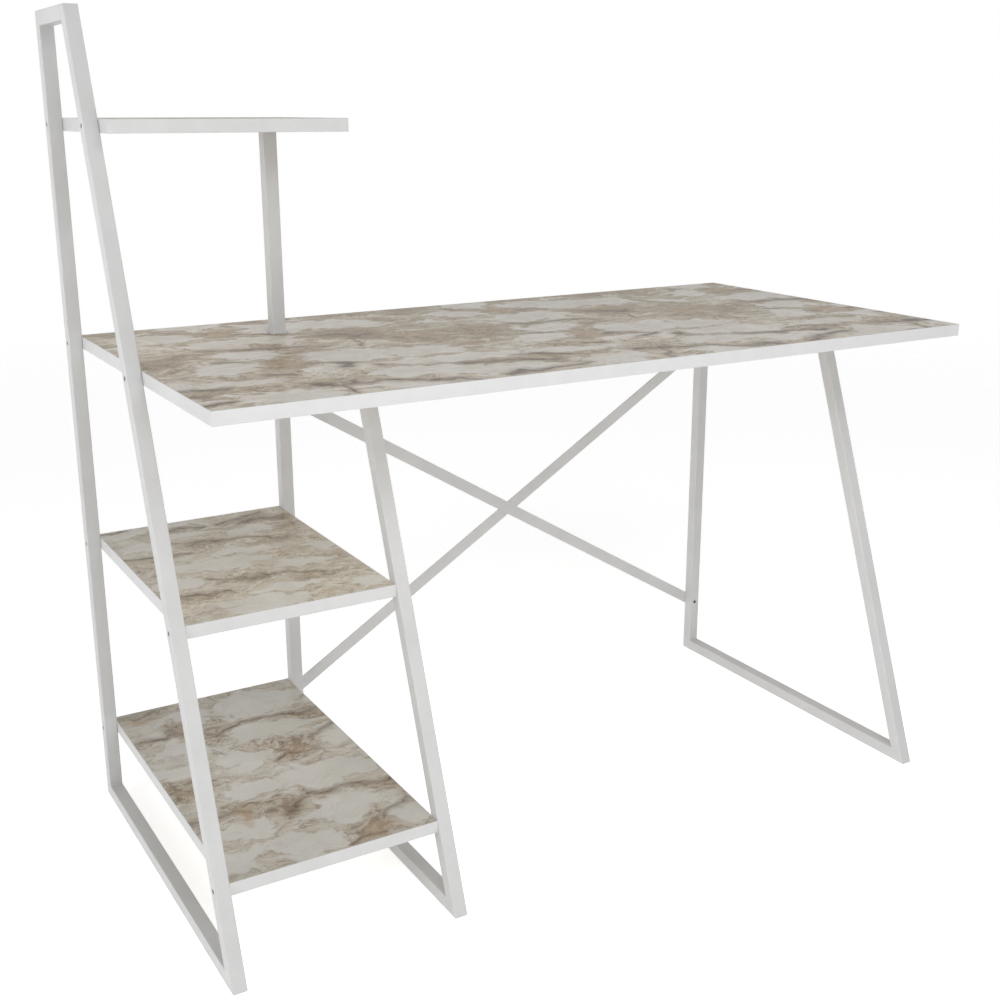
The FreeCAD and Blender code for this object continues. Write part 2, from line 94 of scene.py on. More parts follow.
class Side(Enum):
    """The walls of a square tube, each named after the way it faces."""

    LEFT = (-1.0, 0.0, 0.0)
    RIGHT = (1.0, 0.0, 0.0)
    FRONT = (0.0, -1.0, 0.0)
    UNDER = (0.0, 0.0, -1.0)

    @property
    def outward(self) -> Vector:
        """Gives the wall's outward direction."""
        return Vector(self.value)


class Corner(Enum):
    """The corners of a frame, in their order round it."""

    FRONT_FOOT = auto()
    REAR_FOOT = auto()
    REAR_TOP = auto()
    FRONT_TOP = auto()


class Member(Enum):
    """The tubes of a frame, each with the corners that it joins and named as its CAD nodes end."""

    REAR_LEG = (Corner.REAR_FOOT, Corner.REAR_TOP)
    FRONT_LEG = (Corner.FRONT_FOOT, Corner.FRONT_TOP)
    BASE_RAIL = (Corner.FRONT_FOOT, Corner.REAR_FOOT)
    TOP_RAIL = (Corner.FRONT_TOP, Corner.REAR_TOP)


# Shaders


class Signal:
    """A value on its way through a shader, with Python's operators on it."""

    def __init__(self, shader: "Shader", socket: bpy.types.NodeSocket | None) -> None:
        """Wraps an output socket of a shader's node."""
        self.shader = shader
        self.socket = socket

    def join(self, operation: str, *values: "Signal | float") -> "Signal":
        """Adds a Math node.

        Args:
            operation: The node's operation.
            values: What goes into it, in order.

        Returns:
            The node's result.
        """
        return self.shader.node("ShaderNodeMath", {"operation": operation}, dict(enumerate(values)))

    def __add__(self, other: "Signal | float") -> "Signal":
        """Adds a value."""
        return self.join("ADD", self, other)

    __radd__ = __add__

    def __sub__(self, other: "Signal | float") -> "Signal":
        """Takes a value away."""
        return self.join("SUBTRACT", self, other)

    def __rsub__(self, other: "Signal | float") -> "Signal":
        """Is taken away from a value."""
        return self.join("SUBTRACT", other, self)

    def __mul__(self, other: "Signal | float") -> "Signal":
        """Multiplies by a value."""
        return self.join("MULTIPLY", self, other)

    __rmul__ = __mul__

    def __abs__(self) -> "Signal":
        """Gives the size without the sign."""
        return self.join("ABSOLUTE", self)

    def least(self, other: "Signal | float") -> "Signal":
        """Gives the lesser of two values."""
        return self.join("MINIMUM", self, other)

    def fade(self, start: float, end: float) -> "Signal":
        """Eases from 1 to 0 while the value goes from start to end.

        Args:
            start: The value that gives 1.
            end: The value that gives 0.

        Returns:
            The eased value, between 0 and 1.
        """
        settings = {"interpolation_type": "SMOOTHSTEP"}
        limits = {"Value": self, "From Min": start, "From Max": end, "To Min": 1.0, "To Max": 0.0}
        return self.shader.node("ShaderNodeMapRange", settings, limits)


class Shader:
    """The node tree of a material or a world, with one method that adds any node."""

    def __init__(self, owner: bpy.types.Material | bpy.types.World) -> None:
        """Empties a node tree.

        Args:
            owner: The material or the world that it belongs to.
        """
        self.owner = owner
        self.owner.use_nodes = True
        self.tree = self.owner.node_tree
        self.tree.nodes.clear()

    @classmethod
    def of_material(cls, name: str) -> "Shader":
        """Starts a new material."""
        return cls(bpy.data.materials.new(name))

    def node(
        self,
        kind: str,
        settings: dict[str, object] | None = None,
        inputs: dict[int | str, object] | None = None,
        output: int | str = 0,
    ) -> Signal:
        """Adds a node.

        Args:
            kind: The node's type.
            settings: Its properties, which are set first.
            inputs: A value or a signal for each socket, by the socket's name or number.
            output: The output that is wanted.

        Returns:
            The wanted output, which is empty for a node that has none.
        """
        made = self.tree.nodes.new(kind)
        for name, value in (settings or {}).items():
            setattr(made, name, value)
        for key, value in (inputs or {}).items():
            if isinstance(value, Signal):
                self.tree.links.new(value.socket, made.inputs[key])
            else:
                made.inputs[key].default_value = value
        return Signal(self, made.outputs[output] if made.outputs else None)

    def vector(self, operation: str, *values: object) -> Signal:
        """Adds a Vector Math node.

        Args:
            operation: The node's operation.
            values: Vectors or signals, in order.

        Returns:
            The resulting vector, or the number for operations that measure.
        """
        output = "Value" if operation in ("LENGTH", "DISTANCE", "DOT_PRODUCT") else "Vector"
        settings = {"operation": operation}
        return self.node("ShaderNodeVectorMath", settings, dict(enumerate(values)), output)

    def place(
        self,
        turn: Triple = (0, 0, 0),
        move: Triple = (0, 0, 0),
        scale: Triple = (1, 1, 1),
        vector: Signal | None = None,
    ) -> Signal:
        """Gives coordinates that are scaled, turned and moved, in that order.

        Args:
            turn: Angles about X, Y and Z.
            move: The shift that comes last.
            scale: The scale that comes first.
            vector: The coordinates, or None for the object's own.

        Returns:
            The new coordinates.
        """
        source = vector or self.node("ShaderNodeTexCoord", output="Object")
        inputs = {"Vector": source, "Location": move, "Rotation": turn, "Scale": scale}
        return self.node("ShaderNodeMapping", {"vector_type": "POINT"}, inputs)

    def noise(
        self,
        vector: Signal,
        scale: float,
        detail: float = 2.0,
        roughness: float = 0.5,
        output: str = "Fac",
        dimensions: str = "3D",
    ) -> Signal:
        """Adds a noise texture.

        Args:
            vector: Where it is read.
            scale: Features per unit of length.
            detail: Octaves.
            roughness: Share of each finer octave.
            output: "Fac" for a number and "Color" for three.
            dimensions: "2D" for a flat print and "3D" for a solid.

        Returns:
            The noise.
        """
        inputs = {"Vector": vector, "Scale": scale, "Detail": detail, "Roughness": roughness}
        return self.node("ShaderNodeTexNoise", {"noise_dimensions": dimensions}, inputs, output)

    def mix(
        self,
        factor: Signal | float,
        first: Signal | Colour,
        second: Signal | Colour,
    ) -> Signal:
        """Mixes two colours.

        Args:
            factor: 0 for the first and 1 for the second.
            first: A colour.
            second: Another colour.

        Returns:
            The mixed colour.
        """
        settings = {"data_type": "RGBA", "clamp_factor": True}
        return self.node("ShaderNodeMix", settings, {0: factor, 6: first, 7: second}, 2)

    def surface(
        self,
        sockets: dict[str, object],
        bump: Signal | None = None,
        distance: float = 0.0,
    ) -> bpy.types.Material:
        """Ends the shader with a Principled BSDF.

        Args:
            sockets: Values and signals for its sockets.
            bump: The height that shapes its normals, from 0 to 1.
            distance: What a height of 1 stands for.

        Returns:
            The finished material.
        """
        if bump is not None:
            relief = {"Strength": 1.0, "Distance": distance, "Height": bump}
            sockets = {**sockets, "Normal": self.node("ShaderNodeBump", {}, relief)}
        shader = self.node("ShaderNodeBsdfPrincipled", {}, sockets)
        self.node("ShaderNodeOutputMaterial", {}, {"Surface": shader})
        return self.owner


@dataclass(frozen=True)
class PlainFinish:
    """A finish of one colour, with faint clouds and a fine grain.

    Attributes:
        name: The material's name.
        colour: Its colour.
        shade: The colour of its clouds.
        cloud_scale: Clouds per metre.
        cloud_ends: The noise at which a cloud is full, and at which there is none.
        roughness: The least roughness, and what the noise adds.
        grain_scale: Grains per metre.
        grain_share: The share of the grain's finer octave.
        grain_height: Its height.
        metallic: 1 for bare metal.
    """

    name: str
    colour: Colour
    shade: Colour
    cloud_scale: float
    cloud_ends: Pair
    roughness: Pair
    grain_scale: float
    grain_share: float
    grain_height: float
    metallic: float = 0.0

    def material(self) -> bpy.types.Material:
        """Makes the finish.

        Returns:
            The material.
        """
        shader = Shader.of_material(self.name)
        place = shader.place()
        cloud = shader.noise(place, self.cloud_scale, detail=3.0)
        grain = shader.noise(place, self.grain_scale, roughness=self.grain_share)
        colour = shader.mix(cloud.fade(*self.cloud_ends), self.colour, self.shade)
        least, added = self.roughness
        sockets = {"Base Color": colour, "Roughness": least + added * cloud, "IOR": IOR}
        sockets["Metallic"] = self.metallic
        return shader.surface(sockets, grain, self.grain_height)


@dataclass(frozen=True)
class PowderCoat(PlainFinish):
    """White powder coat on steel tube: satin, with a fine orange peel."""

    name: str = "white_powder_coat"
    colour: Colour = (0.642, 0.642, 0.64, 1)
    shade: Colour = (0.607, 0.607, 0.605, 1)
    cloud_scale: float = 14.0
    cloud_ends: Pair = (0.72, 0.3)
    roughness: Pair = (0.4, 0.12)
    grain_scale: float = 450.0
    grain_share: float = 0.45
    grain_height: float = 0.025 * MM


@dataclass(frozen=True)
class EdgeBand(PlainFinish):
    """White plastic edge band: satin, with a fine pearl."""

    name: str = "white_edge_band"
    colour: Colour = (0.672, 0.672, 0.67, 1)
    shade: Colour = (0.648, 0.648, 0.646, 1)
    cloud_scale: float = 30.0
    cloud_ends: Pair = (0.7, 0.3)
    roughness: Pair = (0.36, 0.1)
    grain_scale: float = 1500.0
    grain_share: float = 0.5
    grain_height: float = 0.008 * MM


@dataclass(frozen=True)
class ZincPlate(PlainFinish):
    """Bright zinc plate on screws, nuts and bolts."""

    name: str = "zinc_plate"
    colour: Colour = (0.66, 0.67, 0.68, 1)
    shade: Colour = (0.60, 0.59, 0.55, 1)
    cloud_scale: float = 260.0
    cloud_ends: Pair = (0.7, 0.35)
    roughness: Pair = (0.24, 0.2)
    grain_scale: float = 4200.0
    grain_share: float = 0.6
    grain_height: float = 0.006 * MM
    metallic: float = 1.0


@dataclass(frozen=True)
class Patch:
    """A pale, brown or ochre patch of the print: an ellipse by its centre, half axes and turn."""

    centre: Pair
    half: Pair
    turn: float = 0.0


@dataclass(frozen=True)
class Vein:
    """A vein of the marble print: a line through points, with half its width."""

    points: tuple[Pair, ...]
    half_width: float


class Distances(NamedTuple):
    """How far a place on the print lies from what it shows: 0 in its middle and 1 at its edge."""

    patch: Signal
    brown: Signal
    ochre: Signal
    vein: Signal


@dataclass(frozen=True)
class Print:
    """A part of the marble print, in millimetres to the right and to the front.

    Attributes:
        patches: Pale patches.
        browns: Brown, mottled places.
        ochres: Small ochre places.
        veins: Dark veins.
        repeat: The distances after which it repeats.
        melt: How softly neighbouring patches melt together.
    """

    patches: tuple[Patch, ...]
    browns: tuple[Patch, ...]
    ochres: tuple[Patch, ...]
    veins: tuple[Vein, ...]
    repeat: Pair = (480.0, 276.0)
    melt: float = 0.12

    def way_from(self, point: Pair, place: Signal) -> Signal:
        """Measures the way to a place from the nearest repeat of a point.

        Args:
            point: The point.
            place: The place.

        Returns:
            The way, as a vector.
        """
        reach = (self.repeat[0] / 2, self.repeat[1] / 2, 1.0)
        way = place.shader.vector("SUBTRACT", place, (*point, 0.0))
        return place.shader.vector("WRAP", way, reach, tuple(-r for r in reach))

    def nearest_patch(self, patches: Iterable[Patch], place: Signal) -> Signal:
        """Measures how far a place lies from the nearest patch.

        Args:
            patches: The patches.
            place: The place.

        Returns:
            0 at a patch's centre and 1 on its outline.
        """
        shader = place.shader
        least = None
        for patch in patches:
            way = self.way_from(patch.centre, place)
            turned = shader.place(turn=(0, 0, -patch.turn), vector=way)
            distance = shader.vector("LENGTH", shader.vector("DIVIDE", turned, (*patch.half, 1.0)))
            if least is not None:
                distance = least.join("SMOOTH_MIN", least, distance, self.melt)
            least = distance
        return least

    def nearest_vein(self, place: Signal) -> Signal:
        """Measures how far a place lies from the nearest vein.

        Args:
            place: The place.

        Returns:
            0 on a vein's line and 1 at its edge.
        """
        shader = place.shader
        least = None
        for vein in self.veins:
            for start, end in zip(vein.points, vein.points[1:]):
                run = (end[0] - start[0], end[1] - start[1])
                length, angle = math.hypot(*run), math.atan2(run[1], run[0])
                way = self.way_from(start, place)
                along = shader.place(turn=(0, 0, -angle), vector=way)
                held = shader.vector("MAXIMUM", along, (0.0, 0.0, 0.0))
                held = shader.vector("MINIMUM", held, (length, 0.0, 0.0))
                distance = shader.vector("DISTANCE", along, held) * (1 / vein.half_width)
                least = distance if least is None else least.least(distance)
        return least

    def distances(self, place: Signal, course: Signal) -> Distances:
        """Measures how far a place lies from all that the print shows.

        Args:
            place: The place, bent as the patches are.
            course: The place, bent as the veins are.

        Returns:
            The distances.
        """
        groups = (self.patches, self.browns, self.ochres)
        found = [self.nearest_patch(patches, place) for patches in groups]
        return Distances(*found, self.nearest_vein(course))


MAIN_PRINT = Print(
    patches=(
        Patch((95, 98), (43, 38)),
        Patch((163, 14), (46, 40), 0.2),
        Patch((285, 82), (66, 50), 0.1),
        Patch((382, 104), (62, 40), 0.15),
        Patch((150, 190), (52, 36), -0.1),
        Patch((212, 186), (52, 42), 0.2),
        Patch((500, 150), (30, 16), 0.5),
    ),
    browns=(
        Patch((178, 98), (38, 46), 0.2),
        Patch((335, 205), (56, 44), 0.3),
        Patch((440, 262), (62, 26), 0.1),
        Patch((50, 262), (58, 30), 0.2),
        Patch((15, 20), (52, 34)),
        Patch((248, 18), (34, 18)),
        Patch((420, 24), (50, 20), 0.2),
        Patch((455, 92), (16, 24), 0.5),
    ),
    ochres=(
        Patch((456, 86), (12, 17), 0.5),
        Patch((183, 95), (24, 26)),
        Patch((440, 262), (34, 14), 0.2),
    ),
    veins=(
        Vein(((112, 233), (150, 241), (190, 250), (230, 258), (270, 266)), 7.5),
        Vein(((210, 108), (240, 124), (260, 138)), 5.5),
        Vein(((306, 194), (332, 200), (348, 214)), 10.0),
        Vein(((346, 226), (368, 206)), 9.0),
        Vein(((334, 236), (328, 296)), 3.0),
        Vein(((98, 322), (122, 334)), 4.5),
    ),
)
FRONT_STRIP = Print(
    patches=(
        Patch((214, 420), (40, 28), -0.3),
        Patch((75, 468), (70, 20), 0.1),
        Patch((98, 568), (62, 40)),
        Patch((322, 512), (82, 30), 0.15),
        Patch((430, 548), (92, 30), 0.1),
        Patch((265, 585), (60, 24), 0.3),
        Patch((400, 455), (120, 28), 0.1),
        Patch((262, 440), (20, 22)),
    ),
    browns=(
        Patch((430, 505), (110, 16), 0.25),
        Patch((50, 508), (70, 16)),
        Patch((60, 418), (70, 18), 0.3),
        Patch((175, 505), (45, 20), -0.3),
    ),
    ochres=(Patch((455, 425), (16, 12)),),
    veins=(
        Vein(((152, 522), (192, 533), (226, 543), (264, 550), (310, 574), (362, 598)), 8.8),
        Vein(((190, 531), (210, 528)), 11.9),
        Vein(((412, 592), (450, 580), (482, 568), (520, 562)), 8.8),
        Vein(((187, 537), (186, 560), (176, 596)), 5.0),
        Vein(((378, 492), (420, 497), (470, 514), (505, 526)), 8.1),
        Vein(((470, 481), (522, 496)), 6.2),
        Vein(((130, 430), (156, 442)), 5.6),
        Vein(((246, 404), (262, 414), (238, 440)), 6.9),
        Vein(((284, 446), (285, 460)), 7.5),
        Vein(((18, 483), (60, 502)), 6.9),
    ),
    repeat=(480.0, 4000.0),
)
LOW_PRINT = Print(
    patches=(
        Patch((214, 66), (80, 40), 0.05),
        Patch((202, 168), (56, 35), 0.1),
        Patch((124, 240), (46, 30), 0.2),
        Patch((280, 228), (32, 34)),
        Patch((60, 170), (44, 26), 0.3),
        Patch((20, 236), (40, 22)),
        Patch((110, 60), (34, 26)),
    ),
    browns=(
        Patch((212, 250), (44, 36), 0.3),
        Patch((20, 18), (56, 26)),
        Patch((128, 132), (34, 30), 0.5),
        Patch((282, 152), (30, 16)),
        Patch((80, 110), (30, 26), 0.8),
    ),
    ochres=(
        Patch((74, 128), (14, 26), 0.5),
        Patch((214, 254), (26, 18)),
        Patch((34, 40), (24, 12)),
    ),
    veins=(
        Vein(((172, 112), (205, 117), (245, 124), (276, 131), (312, 136)), 6.0),
        Vein(((238, 230), (262, 214), (290, 208)), 4.0),
        Vein(((170, 268), (196, 252), (222, 262)), 3.5),
        Vein(((6, 108), (40, 118), (66, 112)), 5.0),
        Vein(((126, 150), (142, 136), (172, 122)), 4.5),
    ),
)
SMALL_PRINT = Print(
    patches=(
        Patch((176, 74), (100, 44), 0.08),
        Patch((424, 66), (36, 28)),
        Patch((60, 160), (58, 30), 0.2),
        Patch((330, 150), (60, 28), 0.1),
        Patch((250, 6), (70, 22)),
    ),
    browns=(
        Patch((200, 192), (60, 26), 0.1),
        Patch((60, 250), (70, 24), 0.1),
        Patch((330, 250), (60, 26)),
        Patch((400, 150), (40, 26)),
    ),
    ochres=(
        Patch((304, 246), (20, 12)),
        Patch((316, 76), (16, 14)),
    ),
    veins=(
        Vein(((-12, 222), (50, 232), (100, 240), (134, 246)), 6.5),
        Vein(((176, 180), (196, 186)), 10.0),
        Vein(((214, 198), (230, 204)), 10.0),
        Vein(((236, 196), (290, 208), (340, 232)), 4.0),
        Vein(((150, 170), (120, 152)), 4.0),
    ),
)
REAR_STRIP = Print(
    patches=(
        Patch((60, 40), (60, 30)),
        Patch((180, 20), (60, 24)),
        Patch((170, 100), (80, 24)),
    ),
    browns=(
        Patch((350, 86), (80, 34), -0.1),
        Patch((120, 62), (90, 16), 0.2),
    ),
    ochres=(Patch((250, 92), (20, 10)),),
    veins=(
        Vein(((114, 45), (170, 54), (227, 68)), 6.0),
        Vein(((265, 64), (320, 54), (379, 38)), 7.5),
        Vein(((318, 88), (372, 80), (420, 92)), 12.0),
        Vein(((-10, 10), (60, 14)), 5.0),
    ),
    repeat=(4000.0, 4000.0),
)


class Grains(NamedTuple):
    """The noises of the print.

    Attributes:
        billows: Broad, soft clouds.
        crumbs: Fine, ragged clouds.
        tone: The slow change from light to dark.
        streaks: Long, ragged streaks.
        mottle: Long, soft spots.
        thread: Long thin lines, 1 on a line and 0 off it.
        fine_thread: Shorter and finer lines.
    """

    billows: Signal
    crumbs: Signal
    tone: Signal
    streaks: Signal
    mottle: Signal
    thread: Signal
    fine_thread: Signal


@dataclass(frozen=True)
class MarbleDecor:
    """The satin marble decor of one board, from a print laid on it.

    Attributes:
        main: The part of the print that covers most of the board.
        shift: The place on the print that lies at the board's rear left corner, in millimetres.
        scale: The size at which the print is laid.
        strip: The part of the print along one edge, or None.
        joint: The distances from the rear at which the print is all main part, and all strip.
        richness: How far the clouds between the pale patches turn to taupe, from 0 to 1.
        strip_richness: The same for the strip.
        painted_shade_tint: Painted shade: the factors by which this board's red, green and blue are
            made lighter or darker, which darken the shelves where the boards above shade them.
        warmth: The factors by which the red, green and blue of its clouds alone are made lighter or
            darker.
        drifts: The noises that bend the print, by features per millimetre and reach.
        crumb_stretch: The scales that draw the crumbs out along the board.
        flow_stretch: The scales that draw out the streaks, threads and mottle.
        fray: How far the billows, crumbs and streaks fray the patches' outlines.
        patch_ends: The distances from a patch at which the clouds are full, and none.
        rim: The distance at which a patch's brown rim lies, and half its width.
        roughness: The least roughness, and what the crumbs add.
        pore_scale: Pores per millimetre.
        pore_share: The share of the pores' finer octave.
        pore_height: Their height.
        pale: The colour of the pale patches.
        grey: Their darker shade.
        cream: The lightest colour of the clouds.
        sand: Their middle colour, which also blows over the patches.
        taupe: Their deepest colour.
        brown: The colour of mottle, lines, rims and halos.
        dark: The colour of the veins.
        ochre: The colour of the ochre places.
    """

    main: Print = MAIN_PRINT
    shift: Pair = (0.0, 0.0)
    scale: float = 1.0
    strip: Print | None = None
    joint: Pair = (0.0, 0.0)
    richness: float = 0.0
    strip_richness: float = 0.0
    painted_shade_tint: Triple = (1.0, 1.0, 1.0)
    warmth: Triple = (1.0, 1.0, 1.0)
    drifts: tuple[Pair, Pair, Pair] = ((0.011, 46.0), (0.045, 14.0), (0.16, 4.5))
    crumb_stretch: Triple = (0.75, 1.25, 0.0)
    flow_stretch: Triple = (0.8, 1.4, 0.0)
    fray: Triple = (0.8, 0.6, 0.8)
    patch_ends: Pair = (1.3, 0.78)
    rim: Pair = (1.08, 0.16)
    roughness: Pair = (0.38, 0.1)
    pore_scale: float = 2.6
    pore_share: float = 0.6
    pore_height: float = 0.01 * MM
    pale: Colour = (0.767, 0.735, 0.675, 1)
    grey: Colour = (0.7, 0.675, 0.61, 1)
    cream: Colour = (0.718, 0.665, 0.573, 1)
    sand: Colour = (0.623, 0.545, 0.437, 1)
    taupe: Colour = (0.437, 0.359, 0.246, 1)
    brown: Colour = (0.254, 0.173, 0.102, 1)
    dark: Colour = (0.113, 0.071, 0.042, 1)
    ochre: Colour = (0.503, 0.335, 0.191, 1)

    def places(self, shader: Shader, corner: Pair) -> list[Signal]:
        """Gives the point on the print, first straight and then bent by each drift in turn.

        Args:
            shader: The shader to add to.
            corner: The board's rear left corner.

        Returns:
            The straight point and the bent ones.
        """
        size = 1 / (self.scale * MM)
        move = (self.shift[0] - corner[0] * size, self.shift[1] + corner[1] * size, 0.0)
        found = [shader.place(scale=(size, -size, 0.0), move=move)]
        for scale, reach in self.drifts:
            drift = shader.noise(found[0], scale, detail=1.0, output="Color", dimensions="2D")
            drift = shader.vector("SUBTRACT", drift, (MIDDLE, MIDDLE, MIDDLE))
            drift = shader.vector("MULTIPLY", drift, (reach, reach, 0.0))
            found.append(shader.vector("ADD", found[-1], drift))
        return found

    def grains(self, place: Signal) -> Grains:
        """Adds the noises of the print, whose scales are features per millimetre.

        Args:
            place: The place on the print.

        Returns:
            The noises.
        """
        noise = partial(place.shader.noise, dimensions="2D")
        drawn = place.shader.vector("MULTIPLY", place, self.crumb_stretch)
        flow = place.shader.vector("MULTIPLY", place, self.flow_stretch)
        return Grains(
            billows=noise(place, 0.02, 3.0, 0.5),
            crumbs=noise(drawn, 0.075, 5.0, 0.62),
            tone=noise(place, 0.009, 2.0, 0.5),
            streaks=noise(flow, 0.035, 5.0, 0.62),
            mottle=noise(flow, 0.06, 3.0, 0.5),
            thread=abs(noise(flow, 0.018, 4.0, 0.58) - MIDDLE).fade(0.0, 0.024),
            fine_thread=abs(noise(flow, 0.047, 3.0, 0.55) - MIDDLE).fade(0.0, 0.036),
        )

    def ground(self, grains: Grains, wisps: Signal) -> Signal:
        """Colours the pale patches.

        Args:
            grains: The noises.
            wisps: Where wisps of the clouds blow over them.

        Returns:
            Their colour.
        """
        mix = wisps.shader.mix
        greyness = (grains.tone + 0.25 * grains.crumbs).fade(0.8, 0.5)
        wisp_share = 0.15 + 0.7 * self.richness
        thread_share = 0.16 + 0.3 * self.richness
        colour = mix(greyness, self.pale, self.grey)
        colour = mix(wisps * wisp_share, colour, self.sand)
        return mix(grains.thread * thread_share, colour, self.taupe)

    def clouds(self, grains: Grains, brown: Signal, richness: Signal | float) -> Signal:
        """Colours the clouds between the pale patches.

        Args:
            grains: The noises.
            brown: The distance from the brown places.
            richness: How far the clouds turn to taupe.

        Returns:
            Their colour.
        """
        mix = brown.shader.mix
        zone = (brown + 1.2 * (grains.crumbs - MIDDLE)).fade(0.5, 1.4)
        depth = (0.9 * grains.billows + 0.8 * grains.tone + 1.2 * grains.streaks).fade(1.7, 1.15)
        lines = 0.2 + 0.4 * self.richness
        pale_streaks = grains.streaks.fade(0.36, 0.52) * 0.7
        taupe_clouds = richness * (0.1 + 1.5 * depth) + 0.55 * zone
        brown_mottle = grains.mottle.fade(0.64, 0.48) * (0.14 + 0.5 * zone)
        fine_lines = grains.fine_thread * (lines + 0.2 * depth + 0.3 * zone)
        bold_lines = grains.thread * (0.2 + lines + 0.4 * depth + 0.3 * zone)
        colour = mix(depth * 0.8, self.cream, self.sand)
        for share, layer in (
            (pale_streaks, self.pale),
            (taupe_clouds, self.taupe),
            (brown_mottle, self.brown),
            (fine_lines, self.brown),
            (bold_lines, self.brown),
        ):
            colour = mix(share, colour, layer)
        return brown.shader.vector("MULTIPLY", colour, self.warmth)

    def marks(self, grains: Grains, far: Distances, colour: Signal) -> Signal:
        """Adds the ochre places, and the dark veins in their brown halos.

        Args:
            grains: The noises.
            far: The distances from what the print shows.
            colour: The colour below them.

        Returns:
            The colour with them.
        """
        mix = colour.shader.mix
        ragged = 1.8 * (grains.crumbs - MIDDLE)
        vein = far.vein + ragged + 0.8 * (grains.billows - MIDDLE)
        ochre_share = (far.ochre + ragged).fade(0.2, 1.4) * 0.55
        halo_share = vein.fade(0.2, 3.0) * 0.55
        vein_share = 0.3 + 0.5 * self.richness + 0.5 * grains.streaks.fade(0.58, 0.46)
        colour = mix(ochre_share, colour, self.ochre)
        colour = mix(halo_share, colour, self.brown)
        return mix(vein.fade(0.0, 1.1) * vein_share, colour, self.dark)

    def material(self, name: str, corner: Pair) -> bpy.types.Material:
        """Makes the finish.

        Args:
            name: The material's name.
            corner: The board's rear left corner.

        Returns:
            The material.
        """
        shader = Shader.of_material(name)
        plain, _, course, place = self.places(shader, corner)
        far = self.main.distances(place, course)
        richness = self.richness
        if self.strip:
            share = shader.node("ShaderNodeSeparateXYZ", {}, {0: place}, "Y").fade(*self.joint)
            others = self.strip.distances(place, course)
            far = Distances(*(a * share + b * (1 - share) for a, b in zip(far, others)))
            richness = self.strip_richness + share * (self.richness - self.strip_richness)

        grains = self.grains(place)
        wisps = grains.streaks.fade(0.62, 0.42)
        frays = zip(self.fray, (grains.billows, grains.crumbs, grains.streaks))
        edge = sum((reach * (grain - MIDDLE) for reach, grain in frays), far.patch)
        clouds = self.clouds(grains, far.brown, richness)
        colour = shader.mix(edge.fade(*self.patch_ends), self.ground(grains, wisps), clouds)
        distance, half_width = self.rim
        rim = abs(edge - distance).fade(0.0, half_width) * wisps
        rim_share = 0.35 + 0.5 * self.richness
        colour = shader.mix(rim * rim_share, colour, self.brown)
        colour = self.marks(grains, far, colour)
        # Painted shade: the whole board is darkened by as much as the boards above shade it.
        colour = shader.vector("MULTIPLY", colour, self.painted_shade_tint)

        least, added = self.roughness
        sockets = {"Base Color": colour, "Roughness": least + added * grains.crumbs, "IOR": IOR}
        pores = shader.noise(plain, self.pore_scale, roughness=self.pore_share, dimensions="2D")
        return shader.surface(sockets, pores, self.pore_height)


class Finishes:
    """The finishes that several pieces share."""

    def __init__(self) -> None:
        """Makes them."""
        self.coat = PowderCoat().material()
        self.band = EdgeBand().material()
        self.zinc = ZincPlate().material()


# Pieces


def finish_piece(
    name: str,
    bm: bmesh.types.BMesh,
    slot: Slot,
    material: bpy.types.Material,
    replaced: Sequence[str] = (),
) -> None:
    """Turns a bmesh into a finished piece of the desk.

    Args:
        name: The piece's name.
        bm: Its shape, which is freed.
        slot: The record's slot that its finish belongs to, which is only logged.
        material: Its finish.
        replaced: The CAD nodes that it stands for.
    """
    mesh = bpy.data.meshes.new(name)
    bm.to_mesh(mesh)
    bm.free()
    mesh.shade_smooth()
    mesh.set_sharp_from_angle(angle=SHARP_ANGLE)
    mesh.materials.append(material)
    piece = bpy.data.objects.new(name, mesh)
    bpy.context.scene.collection.objects.link(piece)
    even = piece.modifiers.new("even_shading", "WEIGHTED_NORMAL")
    even.keep_sharp = True
    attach(piece, BODY)
    if replaced:
        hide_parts(*replaced)
    LOG.info("%s: %d faces, slot %s", name, len(mesh.polygons), slot.value)


def block(bm: bmesh.types.BMesh, low: Vector, high: Vector) -> list[bmesh.types.BMVert]:
    """Adds a block between two corners.

    Args:
        bm: Where it goes.
        low: Its lowest corner.
        high: Its highest corner.

    Returns:
        Its vertices.
    """
    size = high - low
    matrix = Matrix.Translation((low + high) / 2) @ Matrix.Diagonal((*size, 1.0))
    return bmesh.ops.create_cube(bm, size=1.0, matrix=matrix)["verts"]


def raise_face(bm: bmesh.types.BMesh, corners: Iterable[Vector], way: Vector) -> None:
    """Adds a solid that a flat face sweeps.

    Args:
        bm: Where it goes.
        corners: The face's corners.
        way: How far the face is swept, and which way.
    """
    face = bm.faces.new([bm.verts.new(corner) for corner in corners])
    grown = bmesh.ops.extrude_face_region(bm, geom=[face], use_keep_orig=True)["geom"]
    far = [item for item in grown if isinstance(item, bmesh.types.BMVert)]
    bmesh.ops.translate(bm, verts=far, vec=way)


def soften(
    bm: bmesh.types.BMesh,
    edges: Iterable[bmesh.types.BMEdge],
    radius: float,
    steps: int = 3,
) -> None:
    """Rounds edges.

    Args:
        bm: Where they are.
        edges: The edges.
        radius: The radius of the rounding.
        steps: The flats that it is made of.
    """
    bmesh.ops.bevel(
        bm,
        geom=list(edges),
        offset=radius,
        offset_type="OFFSET",
        segments=steps,
        profile=0.5,
        affect="EDGES",
        material=-1,
        clamp_overlap=True,
    )


def cut_plane(bm: bmesh.types.BMesh, point: Vector, way: Vector, clear: bool = False) -> None:
    """Cuts along a plane.

    Args:
        bm: What is cut.
        point: A point on the plane.
        way: The way that it faces.
        clear: Whether what lies that way goes.
    """
    geom = bm.verts[:] + bm.edges[:] + bm.faces[:]
    bmesh.ops.bisect_plane(
        bm, geom=geom, dist=CUT_REACH, plane_co=point, plane_no=way, clear_outer=clear
    )


def edges_of(verts: Iterable[bmesh.types.BMVert]) -> list[bmesh.types.BMEdge]:
    """Lists the edges that meet at some vertices, each once."""
    return list(dict.fromkeys(edge for vert in verts for edge in vert.link_edges))


